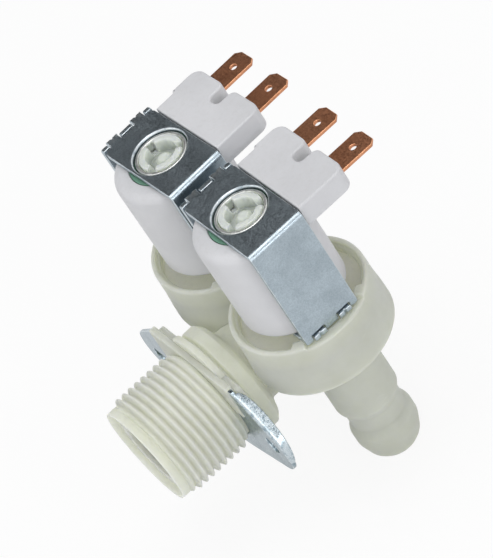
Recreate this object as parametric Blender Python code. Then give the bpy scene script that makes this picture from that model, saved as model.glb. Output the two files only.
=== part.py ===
"""Double solenoid inlet valve of a dishwasher, built piece by piece.

Frame: the origin lies on the inlet axis, in the front face of the steel bracket that meets the
machine's panel. The inlet thread points along -Y, the coils stand up along +Z, the two hose
outlets hang down along -Z, and the near coil is the one at +X.
"""
import math

import bmesh
import bpy
from mathutils import Matrix, Vector

mm = 0.001

# Clearances between pieces
gap = 0.3 * mm

# Places of the two valves
pitch = 31.2 * mm
axis_y = 23.8 * mm
outlet_offset = 1.0 * mm
cup_offset = 0.3 * mm
far_twist = math.radians(1.9)

# Inlet
thread_radius = 13.1 * mm
thread_start = -0.6 * mm
thread_end = -17.4 * mm
inlet_end = -19.8 * mm
inlet_lead_radius = 12.1 * mm
inlet_bore = 9.8 * mm
thread_neck_radius = 11.2 * mm
collar_radius = 14.5 * mm
collar_depth = 1.6 * mm
groove_radius = 12.5 * mm
rib_radius = 13.8 * mm
rib_front = 3.7 * mm
rib_back = 6.6 * mm
rib_cone_length = 1.2 * mm
neck_radius = 9.3 * mm
duct_radius = 6.6 * mm
pocket_radius = 8.2 * mm
pocket_front = -2.0 * mm
pocket_back = 4.6 * mm

# Steel bracket, a horseshoe open at the top
sheet_bracket = 1.0 * mm
bracket_half_length = 29.8 * mm
ear_tip_radius = 8.2 * mm
ear_middle_z = -2.6 * mm
arm_width = 4.9 * mm
arm_top_z = 11.5 * mm
lip_depth = 3.0 * mm
lip_taper = 0.3
screw_hole = 2.2 * mm
screw_slot = 1.8 * mm
bar_width = 4.2 * mm

# Chambers of the body
cup_radius = 16.5 * mm
cup_bore = 15.0 * mm
cup_rim_z = 19.0 * mm
chamber_floor_z = 4.9 * mm
chamber_step_z = 11.0 * mm
chamber_low_radius = 16.7 * mm
chamber_wall_floor = 3.1 * mm
ledge_z = 12.0 * mm
annulus_radius = 12.2 * mm
seat_radius = 6.2 * mm
seat_bore = 4.4 * mm
seat_z = 11.6 * mm
port_radius = 2.2 * mm

# Hose outlets
outlet_root_radius = 7.5 * mm
outlet_neck_radius = 6.5 * mm
outlet_bulb_radius = 7.45 * mm
outlet_tip_radius = 5.3 * mm
outlet_bore = 3.9 * mm
outlet_shoulder_z = -15.4 * mm
outlet_neck_z = -16.8 * mm
outlet_bulb_z = -21.6 * mm
outlet_end_z = -31.8 * mm

# Coil, measured from its own axis
coil_radius = 12.2 * mm
coil_height = 25.5 * mm
coil_bottom_z = 20.0 * mm
coil_wall = 1.0 * mm
coil_mouth = 8.6 * mm
coil_round = 2.0 * mm
block_half_width = 12.0 * mm
block_back = 7.6 * mm
block_step = 0.6 * mm
block_step_y = 12.5 * mm
block_face = 20.4 * mm
block_thickness = 5.7 * mm
block_round = 2.4 * mm
block_slot = 3.4 * mm
block_slot_depth = 4.8 * mm

# Bobbin and winding
bobbin_bore = 6.4 * mm
bobbin_barrel = 7.2 * mm
bobbin_flange_thickness = 1.0 * mm
winding_inset = 0.5 * mm

# Steel yoke
sheet_yoke = 1.2 * mm
yoke_half_width = 7.15 * mm
bend_radius = 1.3 * mm
tab_width = 3.0 * mm
tab_centre = 3.5 * mm
tab_proud = 0.65 * mm

# Magnetic sleeves
sleeve_bore = 5.2 * mm
sleeve_radius = 6.1 * mm
sleeve_length = 9.0 * mm

# Guide tube
tube_bore = 4.25 * mm
tube_radius = 4.95 * mm
tube_flange_thickness = 2.2 * mm
tube_hub_radius = 7.6 * mm
pilot_room_radius = 5.7 * mm
tip_wall = 1.4 * mm
tip_depth = 4.7 * mm
tip_slot = 1.7 * mm
tip_dome_radius = 1.9 * mm

# Terminals
blade_width = 6.3 * mm
blade_thickness = 0.8 * mm
blade_spacing = 13.2 * mm
blade_exposed = 9.3 * mm
blade_root = 5.2 * mm
blade_chamfer = 1.2 * mm
blade_hole = 0.95 * mm
blade_hole_back = 4.0 * mm

# Plunger and its seal and spring
plunger_radius = 3.95 * mm
plunger_travel = 2.5 * mm
insert_lift = 1.5 * mm
seal_radius = 2.4 * mm
seal_length = 2.6 * mm
seal_proud = 0.5 * mm
spring_radius = 1.55 * mm
spring_wire = 0.22 * mm
spring_turns = 6
spring_pocket = 2.2 * mm
spring_pocket_depth = 9.0 * mm

# Diaphragm and its insert
bead_thickness = 1.4 * mm
web_thickness = 0.8 * mm
hub_radius = 5.4 * mm
hub_bore = 2.3 * mm
insert_radius = 4.6 * mm
insert_disc = 1.2 * mm
insert_stem = 2.0 * mm
insert_stem_drop = 3.4 * mm
pilot_bore = 0.6 * mm
pilot_rise = 0.5 * mm
pilot_seat_radius = 1.3 * mm

# Strainer and flow regulator at the inlet
strainer_flange = 9.5 * mm
strainer_rim = 1.2 * mm
strainer_inset = 1.2 * mm
strainer_body = 8.2 * mm
strainer_nose = 5.4 * mm
strainer_wall = 0.9 * mm
strainer_length = 14.0 * mm
strainer_windows = 6
window_width = 3.0 * mm
window_start = 3.0 * mm
window_end = 2.0 * mm
regulator_hole = 2.3 * mm
regulator_thickness = 3.0 * mm
regulator_radius = 6.8 * mm
holder_thickness = 2.2 * mm
holder_holes = 6
holder_hole = 1.1 * mm
holder_reach = 4.4 * mm

# Radii and heights that follow from the sizes above
bobbin_flange = coil_radius - coil_wall - gap
winding_radius = bobbin_flange - winding_inset
coil_top_z = coil_bottom_z + coil_height
yoke_top_z = coil_top_z + gap + sheet_yoke
yoke_bottom_z = coil_bottom_z - gap - sheet_yoke
yoke_inner = coil_radius + gap
yoke_outer = yoke_inner + sheet_yoke
blade_z = yoke_top_z - block_thickness / 2
bead_bottom_z = ledge_z + gap
tube_flange_z = bead_bottom_z + bead_thickness + gap
tube_flange_top = tube_flange_z + tube_flange_thickness
tube_hub_top = yoke_bottom_z - gap
web_z = bead_bottom_z + (bead_thickness - web_thickness) / 2
hub_bottom_z = seat_z + gap
hub_top_z = web_z + web_thickness
insert_z = hub_top_z + gap
pilot_top_z = insert_z + insert_disc + pilot_rise
seal_z = pilot_top_z + gap
plunger_z = seal_z + seal_proud
tube_roof_z = yoke_top_z - tip_depth
plunger_top_z = tube_roof_z - plunger_travel - 2 * gap
plunger_length = plunger_top_z - plunger_z
pilot_room_top = pilot_top_z + insert_lift + gap
bracket_eye = thread_neck_radius + gap
collar_front = sheet_bracket + gap
collar_back = collar_front + collar_depth
ear_centre_x = bracket_half_length - ear_tip_radius
arm_outer = bracket_eye + arm_width

# How finely round things are divided
fine = 32
medium = 20
coarse = 12


def material(name, colour, roughness, metallic=0.0):
    """A plain Principled material."""
    made = bpy.data.materials.new(name)
    made.use_nodes = True
    shader = made.node_tree.nodes["Principled BSDF"]
    shader.inputs["Base Color"].default_value = (*colour, 1.0)
    shader.inputs["Roughness"].default_value = roughness
    shader.inputs["Metallic"].default_value = metallic
    return made


def empty(name, location=(0, 0, 0), turn=0.0, parent=None):
    """An empty that carries the pieces of one valve, turned about its own upright axis."""
    made = bpy.data.objects.new(name, None)
    made.location = location
    made.rotation_euler = (0, 0, turn)
    made.parent = parent
    bpy.context.scene.collection.objects.link(made)
    return made


def solid(name, shape, look=None, parent=None, location=(0, 0, 0), smooth=35):
    """Put a bmesh into the scene as an object with its own copy of the material."""
    bmesh.ops.recalc_face_normals(shape, faces=shape.faces)
    mesh = bpy.data.meshes.new(name)
    shape.to_mesh(mesh)
    shape.free()
    mesh.shade_smooth()
    mesh.set_sharp_from_angle(angle=math.radians(smooth))
    made = bpy.data.objects.new(name, mesh)
    made.parent = parent
    made.location = location
    bpy.context.scene.collection.objects.link(made)
    if look:
        mesh.materials.append(material(name, *look))
    return made


def shape_with(target, tool, operation):
    """Cut, join or intersect the target with a tool that stays hidden."""
    tool.hide_render = True
    tool.display_type = "WIRE"
    step = target.modifiers.new(tool.name, "BOOLEAN")
    step.operation = operation
    step.solver = "EXACT"
    step.use_self = True
    step.object = tool


def cut(target, name, shape, parent=None, location=(0, 0, 0)):
    """Take a shape away from the target."""
    shape_with(target, solid(name, shape, None, parent, location), "DIFFERENCE")


def join(target, name, shape, parent=None, location=(0, 0, 0)):
    """Add a shape to the target."""
    shape_with(target, solid(name, shape, None, parent, location), "UNION")


def lathe(outline, steps, along="Z"):
    """Turn an outline of (radius, height) points about Z, or about Y with the height along +Y.

    An outline that starts and ends on the axis is left open there, any other one is closed.
    """
    shape = bmesh.new()
    corners = [shape.verts.new((radius, 0, height)) for radius, height in outline]
    edges = [shape.edges.new(pair) for pair in zip(corners, corners[1:])]
    if outline[0][0] > 0 or outline[-1][0] > 0:
        edges.append(shape.edges.new((corners[-1], corners[0])))
    bmesh.ops.spin(
        shape, geom=corners + edges, cent=(0, 0, 0), axis=(0, 0, 1),
        angle=math.tau, steps=steps, use_merge=True,
    )
    bmesh.ops.remove_doubles(shape, verts=shape.verts, dist=0.001 * mm)
    turn = Matrix.Rotation(math.pi / steps, 3, "Z")
    if along == "Y":
        turn = Matrix.Rotation(-math.pi / 2, 3, "X")
    bmesh.ops.rotate(shape, verts=shape.verts, matrix=turn)
    return shape


def drum(radius, low, high, steps, along="Z"):
    """A plain round solid between two heights."""
    return lathe([(0, low), (radius, low), (radius, high), (0, high)], steps, along)


def slab(outline, low, high, normal="Z"):
    """Extrude a flat outline between two heights along Z, or along Y for an outline in XZ."""
    shape = bmesh.new()
    base = shape.faces.new([shape.verts.new((x, y, low)) for x, y in outline])
    raised = bmesh.ops.extrude_face_region(shape, geom=[base])["geom"]
    lifted = [item for item in raised if isinstance(item, bmesh.types.BMVert)]
    bmesh.ops.translate(shape, verts=lifted, vec=(0, 0, high - low))
    if normal == "Y":
        swap = Matrix(((1, 0, 0), (0, 0, 1), (0, 1, 0)))
        bmesh.ops.transform(shape, verts=shape.verts, matrix=swap.to_4x4())
    return shape


def box(low, high):
    """A box between two corners."""
    return slab([(low[0], low[1]), (high[0], low[1]), (high[0], high[1]), (low[0], high[1])],
                low[2], high[2])


def rounded(corners, steps=4):
    """Round each (x, y, radius) corner of an outline with an arc."""
    points = []
    for index, (x, y, radius) in enumerate(corners):
        here = Vector((x, y))
        before = (Vector(corners[index - 1][:2]) - here).normalized()
        after = (Vector(corners[(index + 1) % len(corners)][:2]) - here).normalized()
        if radius <= 0:
            points.append((x, y))
            continue
        half = before.angle(after) / 2
        centre = here + (before + after).normalized() * (radius / math.sin(half))
        start = here + before * (radius / math.tan(half)) - centre
        sweep = (math.pi - 2 * half) * (1 if before.cross(after) < 0 else -1)
        for step in range(steps + 1):
            spot = Matrix.Rotation(sweep * step / steps, 2) @ start + centre
            points.append((spot.x, spot.y))
    return points


def merged(*shapes):
    """Several separate closed shapes in one bmesh."""
    whole = bmesh.new()
    for shape in shapes:
        mesh = bpy.data.meshes.new("part_of_tool")
        shape.to_mesh(mesh)
        shape.free()
        whole.from_mesh(mesh)
        bpy.data.meshes.remove(mesh)
    return whole


def moved(shape, offset):
    """The same shape, shifted."""
    bmesh.ops.translate(shape, verts=shape.verts, vec=offset)
    return shape


def inlet_outline():
    """Outside of the inlet from its mouth to the closed end of the duct below the chambers."""
    lead = 0.5 * mm
    return [
        (0, inlet_end),
        (inlet_lead_radius - lead, inlet_end),
        (inlet_lead_radius, inlet_end + lead),
        (inlet_lead_radius, thread_end - lead),
        (thread_radius, thread_end + lead),
        (thread_radius, thread_start - lead),
        (thread_neck_radius, thread_start + lead),
        (thread_neck_radius, collar_front),
        (collar_radius, collar_front),
        (collar_radius, collar_back),
        (groove_radius, collar_back),
        (groove_radius, rib_front),
        (rib_radius, rib_front),
        (rib_radius, rib_back),
        (groove_radius, rib_back + rib_cone_length),
        (neck_radius, rib_back + 2 * rib_cone_length),
        (neck_radius, axis_y + neck_radius / 2),
        (0, axis_y + neck_radius / 2),
    ]


def inlet_bore_outline():
    """Inside of the inlet: the strainer's bore, the regulator's pocket and the duct."""
    return [
        (0, inlet_end - 1 * mm),
        (inlet_bore, inlet_end - 1 * mm),
        (inlet_bore, pocket_front),
        (pocket_radius, pocket_front),
        (pocket_radius, pocket_back),
        (duct_radius, pocket_back),
        (duct_radius, axis_y + duct_radius / 2),
        (0, axis_y + duct_radius / 2),
    ]


def outlet_outline():
    """Outside of one hose outlet, from inside the chamber floor down to its round tip."""
    bulb_end = outlet_end_z + 6.0 * mm
    return [
        (0, chamber_floor_z + 1 * mm),
        (outlet_root_radius, chamber_floor_z + 1 * mm),
        (outlet_root_radius, outlet_shoulder_z),
        (outlet_neck_radius, outlet_neck_z),
        (outlet_neck_radius, outlet_bulb_z),
        (outlet_bulb_radius - 0.4 * mm, outlet_bulb_z - 1.2 * mm),
        (outlet_bulb_radius, outlet_bulb_z - 2.4 * mm),
        (outlet_bulb_radius, bulb_end),
        (outlet_bulb_radius - 0.5 * mm, bulb_end - 2.4 * mm),
        (outlet_tip_radius + 0.7 * mm, outlet_end_z + 1.2 * mm),
        (outlet_tip_radius, outlet_end_z),
        (0, outlet_end_z),
    ]


def chamber_outline():
    """Outside of one diaphragm chamber and of the cup above it that takes the coil's foot."""
    fillet = 0.8 * mm
    return [
        (0, chamber_floor_z),
        (chamber_low_radius - fillet, chamber_floor_z),
        (chamber_low_radius, chamber_floor_z + fillet),
        (chamber_low_radius, chamber_step_z - fillet),
        (cup_radius, chamber_step_z),
        (cup_radius, cup_rim_z - fillet / 2),
        (cup_radius - fillet / 2, cup_rim_z),
        (0, cup_rim_z),
    ]


def chamber_room_outline():
    """Room inside one chamber: the cup, the ledge, and the water ring round the raised seat."""
    above = cup_rim_z + 2 * mm
    floor = chamber_floor_z + chamber_wall_floor
    return [
        (0, seat_z),
        (seat_radius, seat_z),
        (seat_radius, floor),
        (annulus_radius, floor),
        (annulus_radius, ledge_z),
        (cup_bore, ledge_z),
        (cup_bore, above),
        (0, above),
    ]


def foot_recess():
    """Slot across both cup rims that lets the yokes' feet sit on the guide tubes."""
    half_width = yoke_half_width + abs(yoke_outer * math.sin(far_twist)) + 2 * gap
    reach = pitch / 2 + cup_radius + mm
    low = yoke_bottom_z - gap - 0.1 * mm
    return box((-reach, axis_y - half_width, low), (reach, axis_y + half_width, cup_rim_z + mm))


def ear_slope():
    """Ends of the sloping upper edge of the ear at +X, as (x, z) points."""
    return Vector((arm_outer, arm_top_z)), Vector((ear_centre_x, ear_middle_z + ear_tip_radius))


def tangent(big, small, reach, drop):
    """Direction square to the straight edge that touches a big and a small round from below."""
    apart = math.hypot(reach, drop)
    lean = math.asin((big - small) / apart) + math.atan2(drop, reach)
    return Vector((math.sin(lean), -math.cos(lean)))


def bracket_outline():
    """Outline of the bracket in the panel plane: two ears, a round bar below and two short arms."""
    top, foot = ear_slope()
    ring = bracket_eye + bar_width
    lean = tangent(ring, ear_tip_radius, ear_centre_x, ear_middle_z)
    ear = Vector((ear_centre_x, ear_middle_z))
    low = math.atan2(lean.y, lean.x)
    steps = 9
    ear_turns = [math.pi / 2 + (low - math.pi / 2) * step / steps for step in range(1, steps + 1)]
    ring_turns = [low + (-math.pi / 2 - low) * step / 3 for step in range(3)]
    right = [(top.x, top.y, 0.8 * mm), (foot.x, foot.y, 2 * mm)]
    right += [(ear.x + ear_tip_radius * math.cos(turn), ear.y + ear_tip_radius * math.sin(turn), 0)
              for turn in ear_turns]
    right += [(ring * math.cos(turn), ring * math.sin(turn), 0) for turn in ring_turns]
    left = [(-x, z, radius) for x, z, radius in reversed(right)]
    steps = 16
    turns = [math.pi * (1 + step / steps) for step in range(steps + 1)]
    eye = [(bracket_eye * math.cos(turn), bracket_eye * math.sin(turn), 0) for turn in turns]
    mouth = [(-bracket_eye, arm_top_z, 0.8 * mm), *eye, (bracket_eye, arm_top_z, 0.8 * mm)]
    return rounded(right + left + mouth, steps=5)


def flange_outline():
    """Outline of the nylon flange that backs the bracket, kept clear of the turned lip."""
    top, foot = ear_slope()
    along = (foot - top).normalized()
    inward = Vector((along.y, -along.x)) * (sheet_bracket + gap)
    top, foot = top + inward, foot + inward
    low = ear_middle_z - ear_tip_radius + 3 * mm
    right = [(top.x, top.y, 1 * mm), (foot.x, foot.y, 2 * mm), (foot.x - 3 * mm, low, 2 * mm)]
    left = [(-x, z, radius) for x, z, radius in reversed(right)]
    return rounded(right + left)


def lip_shape():
    """The strip turned back from the sloping edge at +X, deepest at its middle."""
    top, foot = ear_slope()
    along = foot - top
    length = along.length - 1.5 * mm
    low = sheet_bracket / 2
    outline = [
        (1 * mm, low), (length, low), (length * (1 - lip_taper / 2), lip_depth * 0.6),
        (length * (1 - lip_taper), lip_depth), (length * lip_taper, lip_depth),
        (length * lip_taper / 2, lip_depth * 0.6),
    ]
    shape = slab(outline, -sheet_bracket, -0.02 * mm)
    across = Vector((-along.y, along.x)).normalized()
    along = along.normalized()
    place = Matrix(((along.x, 0, across.x, top.x), (0, 1, 0, 0), (along.y, 0, across.y, top.y),
                    (0, 0, 0, 1)))
    bmesh.ops.transform(shape, verts=shape.verts, matrix=place)
    return shape


def body():
    """The moulded nylon body: threaded inlet, two chambers and two hose outlets in one piece."""
    made = solid("valve_body", lathe(inlet_outline(), fine, "Y"), ((0.72, 0.73, 0.62), 0.42))
    outside = [slab(flange_outline(), collar_front, collar_back, "Y")]
    inside = [lathe(inlet_bore_outline(), medium, "Y"), foot_recess()]
    floor = chamber_floor_z + chamber_wall_floor
    ring = annulus_radius - port_radius - gap
    for side in (-1, 1):
        spot = (side * pitch / 2, axis_y, 0)
        drop = (side * pitch / 2, axis_y + outlet_offset, 0)
        port = (side * (pitch / 2 - ring), axis_y, 0)
        cup = (side * pitch / 2, axis_y + cup_offset, 0)
        outside.append(moved(lathe(chamber_outline(), fine), cup))
        outside.append(moved(lathe(outlet_outline(), medium), drop))
        inside.append(moved(lathe(chamber_room_outline(), fine), spot))
        inside.append(moved(drum(seat_bore, chamber_floor_z - 2 * mm, seat_z + mm, medium), spot))
        inside.append(moved(drum(outlet_bore, outlet_end_z - mm, chamber_floor_z - mm, coarse), drop))
        inside.append(moved(drum(port_radius, 2 * mm, floor + mm, coarse), port))
    join(made, "outside_tool", merged(*outside))
    cut(made, "inside_tool", merged(*inside))
    return made


def bracket():
    """Zinc plated steel bracket that slides over the inlet's neck and takes two screws."""
    look = ((0.55, 0.60, 0.63), 0.28, 1.0)
    plate = slab(bracket_outline(), 0, sheet_bracket, "Y")
    made = solid("mounting_bracket", plate, look, smooth=30)
    join(made, "lip_tool", lip_shape())
    hole = drum(screw_hole, -mm, sheet_bracket + mm, coarse, "Y")
    cut(made, "screw_hole_tool", moved(hole, (ear_centre_x, 0, ear_middle_z)))
    far, near = -ear_centre_x - screw_slot, -ear_centre_x + screw_slot
    low, high = ear_middle_z - screw_hole, ear_middle_z + screw_hole
    edge = screw_hole * 0.99
    outline = rounded([
        (far - edge, high, edge), (far - edge, low, edge),
        (near + edge, low, edge), (near + edge, high, edge),
    ])
    cut(made, "screw_slot_tool", slab(outline, -mm, sheet_bracket + mm, "Y"))


def strainer():
    """Cup-shaped inlet strainer with windows round its side, open at the mouth."""
    mouth = inlet_end + strainer_inset
    nose = mouth + strainer_length
    inner_nose = strainer_nose - strainer_wall
    outline = [
        (0, nose),
        (strainer_nose, nose),
        (strainer_body, mouth + strainer_rim),
        (strainer_flange, mouth + strainer_rim),
        (strainer_flange, mouth),
        (strainer_body - strainer_wall, mouth),
        (inner_nose, nose - strainer_wall),
        (0, nose - strainer_wall),
    ]
    made = solid("inlet_strainer", lathe(outline, medium, "Y"), ((0.86, 0.87, 0.85), 0.5))
    windows = []
    for index in range(strainer_windows // 2):
        window = box((-strainer_flange, mouth + window_start, -window_width / 2),
                     (strainer_flange, nose - window_end, window_width / 2))
        turn = Matrix.Rotation(math.tau * index / strainer_windows, 3, "Y")
        bmesh.ops.rotate(window, verts=window.verts, matrix=turn)
        windows.append(window)
    for index, window in enumerate(windows):
        cut(made, f"window_tool_{index}", window)
    return made


def regulator():
    """Rubber flow washer and the perforated nylon disc that carries it."""
    holder_back = pocket_back - gap
    holder_front = holder_back - holder_thickness
    washer_back = holder_front - gap
    washer_front = washer_back - regulator_thickness
    washer = [
        (regulator_hole, washer_front),
        (regulator_hole, washer_back),
        (regulator_radius - 0.5 * mm, washer_back),
        (regulator_radius, washer_back - 0.5 * mm),
        (regulator_radius, washer_front + 0.5 * mm),
        (regulator_radius - 0.5 * mm, washer_front),
    ]
    solid("flow_washer", lathe(washer, medium, "Y"), ((0.03, 0.03, 0.03), 0.8))
    disc = drum(pocket_radius - gap, holder_front, holder_back, medium, "Y")
    made = solid("flow_washer_holder", disc, ((0.82, 0.82, 0.78), 0.5))
    holes = []
    for index in range(holder_holes):
        angle = math.tau * index / holder_holes
        hole = drum(holder_hole, holder_front - mm, holder_back + mm, 10, "Y")
        holes.append(moved(hole, (holder_reach * math.cos(angle), 0, holder_reach * math.sin(angle))))
    cut(made, "holder_hole_tool", merged(*holes))


def guide_tube(name, parent):
    """Nylon tube that guides the plunger, with the flange that clamps the diaphragm."""
    round_top = tube_roof_z + tip_wall
    outline = [
        (0, tube_roof_z),
        (tube_bore, tube_roof_z),
        (tube_bore, pilot_room_top),
        (pilot_room_radius, pilot_room_top),
        (pilot_room_radius, tube_flange_z),
        (cup_bore - gap, tube_flange_z),
        (cup_bore - gap, tube_flange_top),
        (tube_hub_radius, tube_flange_top),
        (tube_hub_radius, tube_hub_top),
        (tube_radius, tube_hub_top),
        (tube_radius, yoke_top_z - 0.6 * mm),
        (tube_radius - 0.4 * mm, yoke_top_z - 0.1 * mm),
        (tube_radius - tip_wall, yoke_top_z - 0.1 * mm),
        (tube_radius - tip_wall, round_top),
        (tip_dome_radius, round_top),
        (tip_dome_radius * 0.8, round_top + 1.1 * mm),
        (tip_dome_radius * 0.4, round_top + 1.6 * mm),
        (0, round_top + 1.75 * mm),
    ]
    made = solid(name, lathe(outline, medium), ((0.66, 0.70, 0.62), 0.4), parent)
    reach = tube_radius + mm
    for index in range(3):
        slot = box((tip_dome_radius + 0.3 * mm, -tip_slot / 2, round_top + 0.4 * mm),
                   (reach, tip_slot / 2, yoke_top_z + mm))
        turn = Matrix.Rotation(math.radians(120 * index + 60), 3, "Z")
        bmesh.ops.rotate(slot, verts=slot.verts, matrix=turn)
        cut(made, f"tip_slot_tool_{index}", slot, parent)
    return made


def diaphragm(name, parent):
    """Rubber diaphragm: a clamped bead, a thin web and a hub that closes the seat."""
    bead_top = bead_bottom_z + bead_thickness
    bead_inner = annulus_radius + gap
    outline = [
        (hub_bore, hub_bottom_z),
        (hub_radius, hub_bottom_z),
        (hub_radius + 0.4 * mm, web_z),
        (bead_inner, web_z),
        (bead_inner, bead_bottom_z),
        (cup_bore - gap, bead_bottom_z),
        (cup_bore - gap, bead_top),
        (bead_inner, bead_top),
        (bead_inner, hub_top_z),
        (hub_bore, hub_top_z),
    ]
    return solid(name, lathe(outline, medium), ((0.05, 0.05, 0.05), 0.75), parent)


def insert(name, parent):
    """Nylon insert that rides on the diaphragm and carries the pilot hole."""
    bottom = -insert_stem_drop
    outline = [
        (pilot_bore, bottom),
        (insert_stem, bottom),
        (insert_stem, 0),
        (insert_radius, 0),
        (insert_radius, insert_disc),
        (pilot_seat_radius + 0.4 * mm, insert_disc),
        (pilot_seat_radius - 0.3 * mm, insert_disc + pilot_rise),
        (pilot_bore, insert_disc + pilot_rise),
    ]
    return solid(name, lathe(outline, coarse), ((0.80, 0.80, 0.76), 0.5), parent, (0, 0, insert_z))


def plunger(name, parent):
    """Stainless plunger, bored at its foot for the seal and at its head for the spring."""
    seat_depth = seal_length - seal_proud + gap
    chamfer = 0.5 * mm
    outline = [
        (0, seat_depth),
        (seal_radius + gap, seat_depth),
        (seal_radius + gap, 0),
        (plunger_radius - chamfer, 0),
        (plunger_radius, chamfer),
        (plunger_radius, plunger_length - chamfer),
        (plunger_radius - chamfer, plunger_length),
        (spring_pocket, plunger_length),
        (spring_pocket, plunger_length - spring_pocket_depth),
        (0, plunger_length - spring_pocket_depth),
    ]
    look = ((0.60, 0.60, 0.60), 0.3, 1.0)
    return solid(name, lathe(outline, coarse), look, parent, (0, 0, plunger_z))


def seal(name, parent):
    """Rubber seal pressed into the plunger's foot."""
    outline = [
        (0, -seal_proud),
        (seal_radius - 0.3 * mm, -seal_proud),
        (seal_radius, -seal_proud + 0.3 * mm),
        (seal_radius, seal_length - seal_proud),
        (0, seal_length - seal_proud),
    ]
    return solid(name, lathe(outline, 16), ((0.10, 0.04, 0.03), 0.7), parent)


def spring(name, parent):
    """Helical return spring between the plunger's pocket and the roof of the tube."""
    low = plunger_top_z - spring_pocket_depth + gap + spring_wire
    high = tube_roof_z - gap - spring_wire
    per_turn = 10
    count = spring_turns * per_turn
    curve = bpy.data.curves.new(name, "CURVE")
    curve.dimensions = "3D"
    curve.bevel_depth = spring_wire
    curve.bevel_resolution = 0
    curve.use_fill_caps = True
    line = curve.splines.new("POLY")
    line.points.add(count)
    for index, point in enumerate(line.points):
        angle = math.tau * index / per_turn
        height = low + (high - low) * index / count
        point.co = (spring_radius * math.cos(angle), spring_radius * math.sin(angle), height, 1)
    curve.materials.append(material(name, (0.62, 0.62, 0.62), 0.3, 1.0))
    made = bpy.data.objects.new(name, curve)
    made.parent = parent
    bpy.context.scene.collection.objects.link(made)
    return made


def bobbin(name, parent):
    """Green bobbin with a raised ring round each end of its bore."""
    wall = coil_wall + gap
    ring = coil_mouth - gap
    low, high = coil_bottom_z, coil_top_z
    thick = bobbin_flange_thickness
    outline = [
        (bobbin_bore, low), (ring, low), (ring, low + wall), (bobbin_flange, low + wall),
        (bobbin_flange, low + wall + thick), (bobbin_barrel, low + wall + thick),
        (bobbin_barrel, high - wall - thick), (bobbin_flange, high - wall - thick),
        (bobbin_flange, high - wall), (ring, high - wall), (ring, high), (bobbin_bore, high),
    ]
    return solid(name, lathe(outline, medium), ((0.10, 0.26, 0.16), 0.45), parent)


def winding(name, parent):
    """Copper winding as one plain turned body."""
    inset = coil_wall + bobbin_flange_thickness + 2 * gap
    low, high = coil_bottom_z + inset, coil_top_z - inset
    inner = bobbin_barrel + gap
    outline = [(inner, low), (winding_radius, low), (winding_radius, high), (inner, high)]
    return solid(name, lathe(outline, medium), ((0.60, 0.28, 0.12), 0.4, 1.0), parent)


def coil_outline():
    """Section of the moulded jacket round the winding, open to the bore at both ends."""
    low, high = coil_bottom_z, coil_top_z
    inner = bobbin_flange + gap
    arc = [(coil_radius - coil_round * (1 - math.cos(angle)),
            high - coil_round * (1 - math.sin(angle)))
           for angle in (0, math.radians(30), math.radians(60), math.radians(90))]
    return [
        (coil_mouth, low), (coil_radius - 0.6 * mm, low), (coil_radius, low + 0.6 * mm),
        *arc,
        (coil_mouth, high), (coil_mouth, high - coil_wall), (inner, high - coil_wall),
        (inner, low + coil_wall), (coil_mouth, low + coil_wall),
    ]


def coil_jacket(name, parent):
    """White moulded jacket with the terminal block on its +Y side."""
    look = ((0.86, 0.86, 0.86), 0.5)
    made = solid(name, lathe(coil_outline(), fine), look, parent)
    wide = block_half_width
    slot = block_slot / 2
    deep = block_face - block_slot_depth
    waist = wide - block_step
    right = [
        (waist, block_back, 0), (waist, block_step_y, 0), (wide, block_step_y + 0.4 * mm, 0),
        (wide, block_face, block_round), (slot, block_face, 1.5 * mm), (slot, deep, slot * 0.8),
    ]
    left = [(-x, y, radius) for x, y, radius in reversed(right)]
    outline = rounded(right + left)
    low = yoke_top_z - block_thickness
    block = solid(f"{name}_block_tool", slab(outline, low, yoke_top_z), None, parent)
    block_bore = drum(coil_radius - coil_wall / 2, low - mm, coil_top_z - coil_wall / 2, medium)
    mouth = drum(coil_mouth, coil_top_z - coil_wall, coil_top_z + gap, fine)
    cut(block, f"{name}_hollow_tool", merged(block_bore, mouth), parent)
    shape_with(made, block, "UNION")
    half = blade_width / 2 + gap
    tall = blade_thickness / 2 + gap
    pockets = [box((spot - half, block_face - blade_root - gap, blade_z - tall),
                   (spot + half, block_face + mm, blade_z + tall))
               for spot in (-blade_spacing / 2, blade_spacing / 2)]
    cut(made, f"{name}_pocket_tool", merged(*pockets), parent)
    return made


def terminal(name, spot, parent):
    """Copper spade terminal with a chamfered tip and a latch hole."""
    tip = block_face + blade_exposed
    half = blade_width / 2
    edge = blade_chamfer
    outline = [
        (-half, block_face - blade_root), (half, block_face - blade_root), (half, tip - edge),
        (half - edge, tip), (edge - half, tip), (-half, tip - edge),
    ]
    outline = [(x + spot, y) for x, y in outline]
    low = blade_z - blade_thickness / 2
    made = solid(name, slab(outline, low, low + blade_thickness), ((0.55, 0.27, 0.14), 0.35, 1.0),
                 parent, smooth=30)
    hole = drum(blade_hole, low - mm, low + blade_thickness + mm, 16)
    cut(made, f"{name}_hole_tool", moved(hole, (spot, tip - blade_hole_back, 0)), parent)
    return made


def sleeve(name, low, parent):
    """Rolled steel sleeve that leads the magnetic path down the bore."""
    high = low + sleeve_length
    edge = 0.25 * mm
    outline = [
        (sleeve_bore + edge, low), (sleeve_radius, low), (sleeve_radius, high),
        (sleeve_bore + edge, high), (sleeve_bore, high - edge), (sleeve_bore, low + edge),
    ]
    return solid(name, lathe(outline, medium), ((0.60, 0.62, 0.64), 0.3, 1.0), parent)


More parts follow.
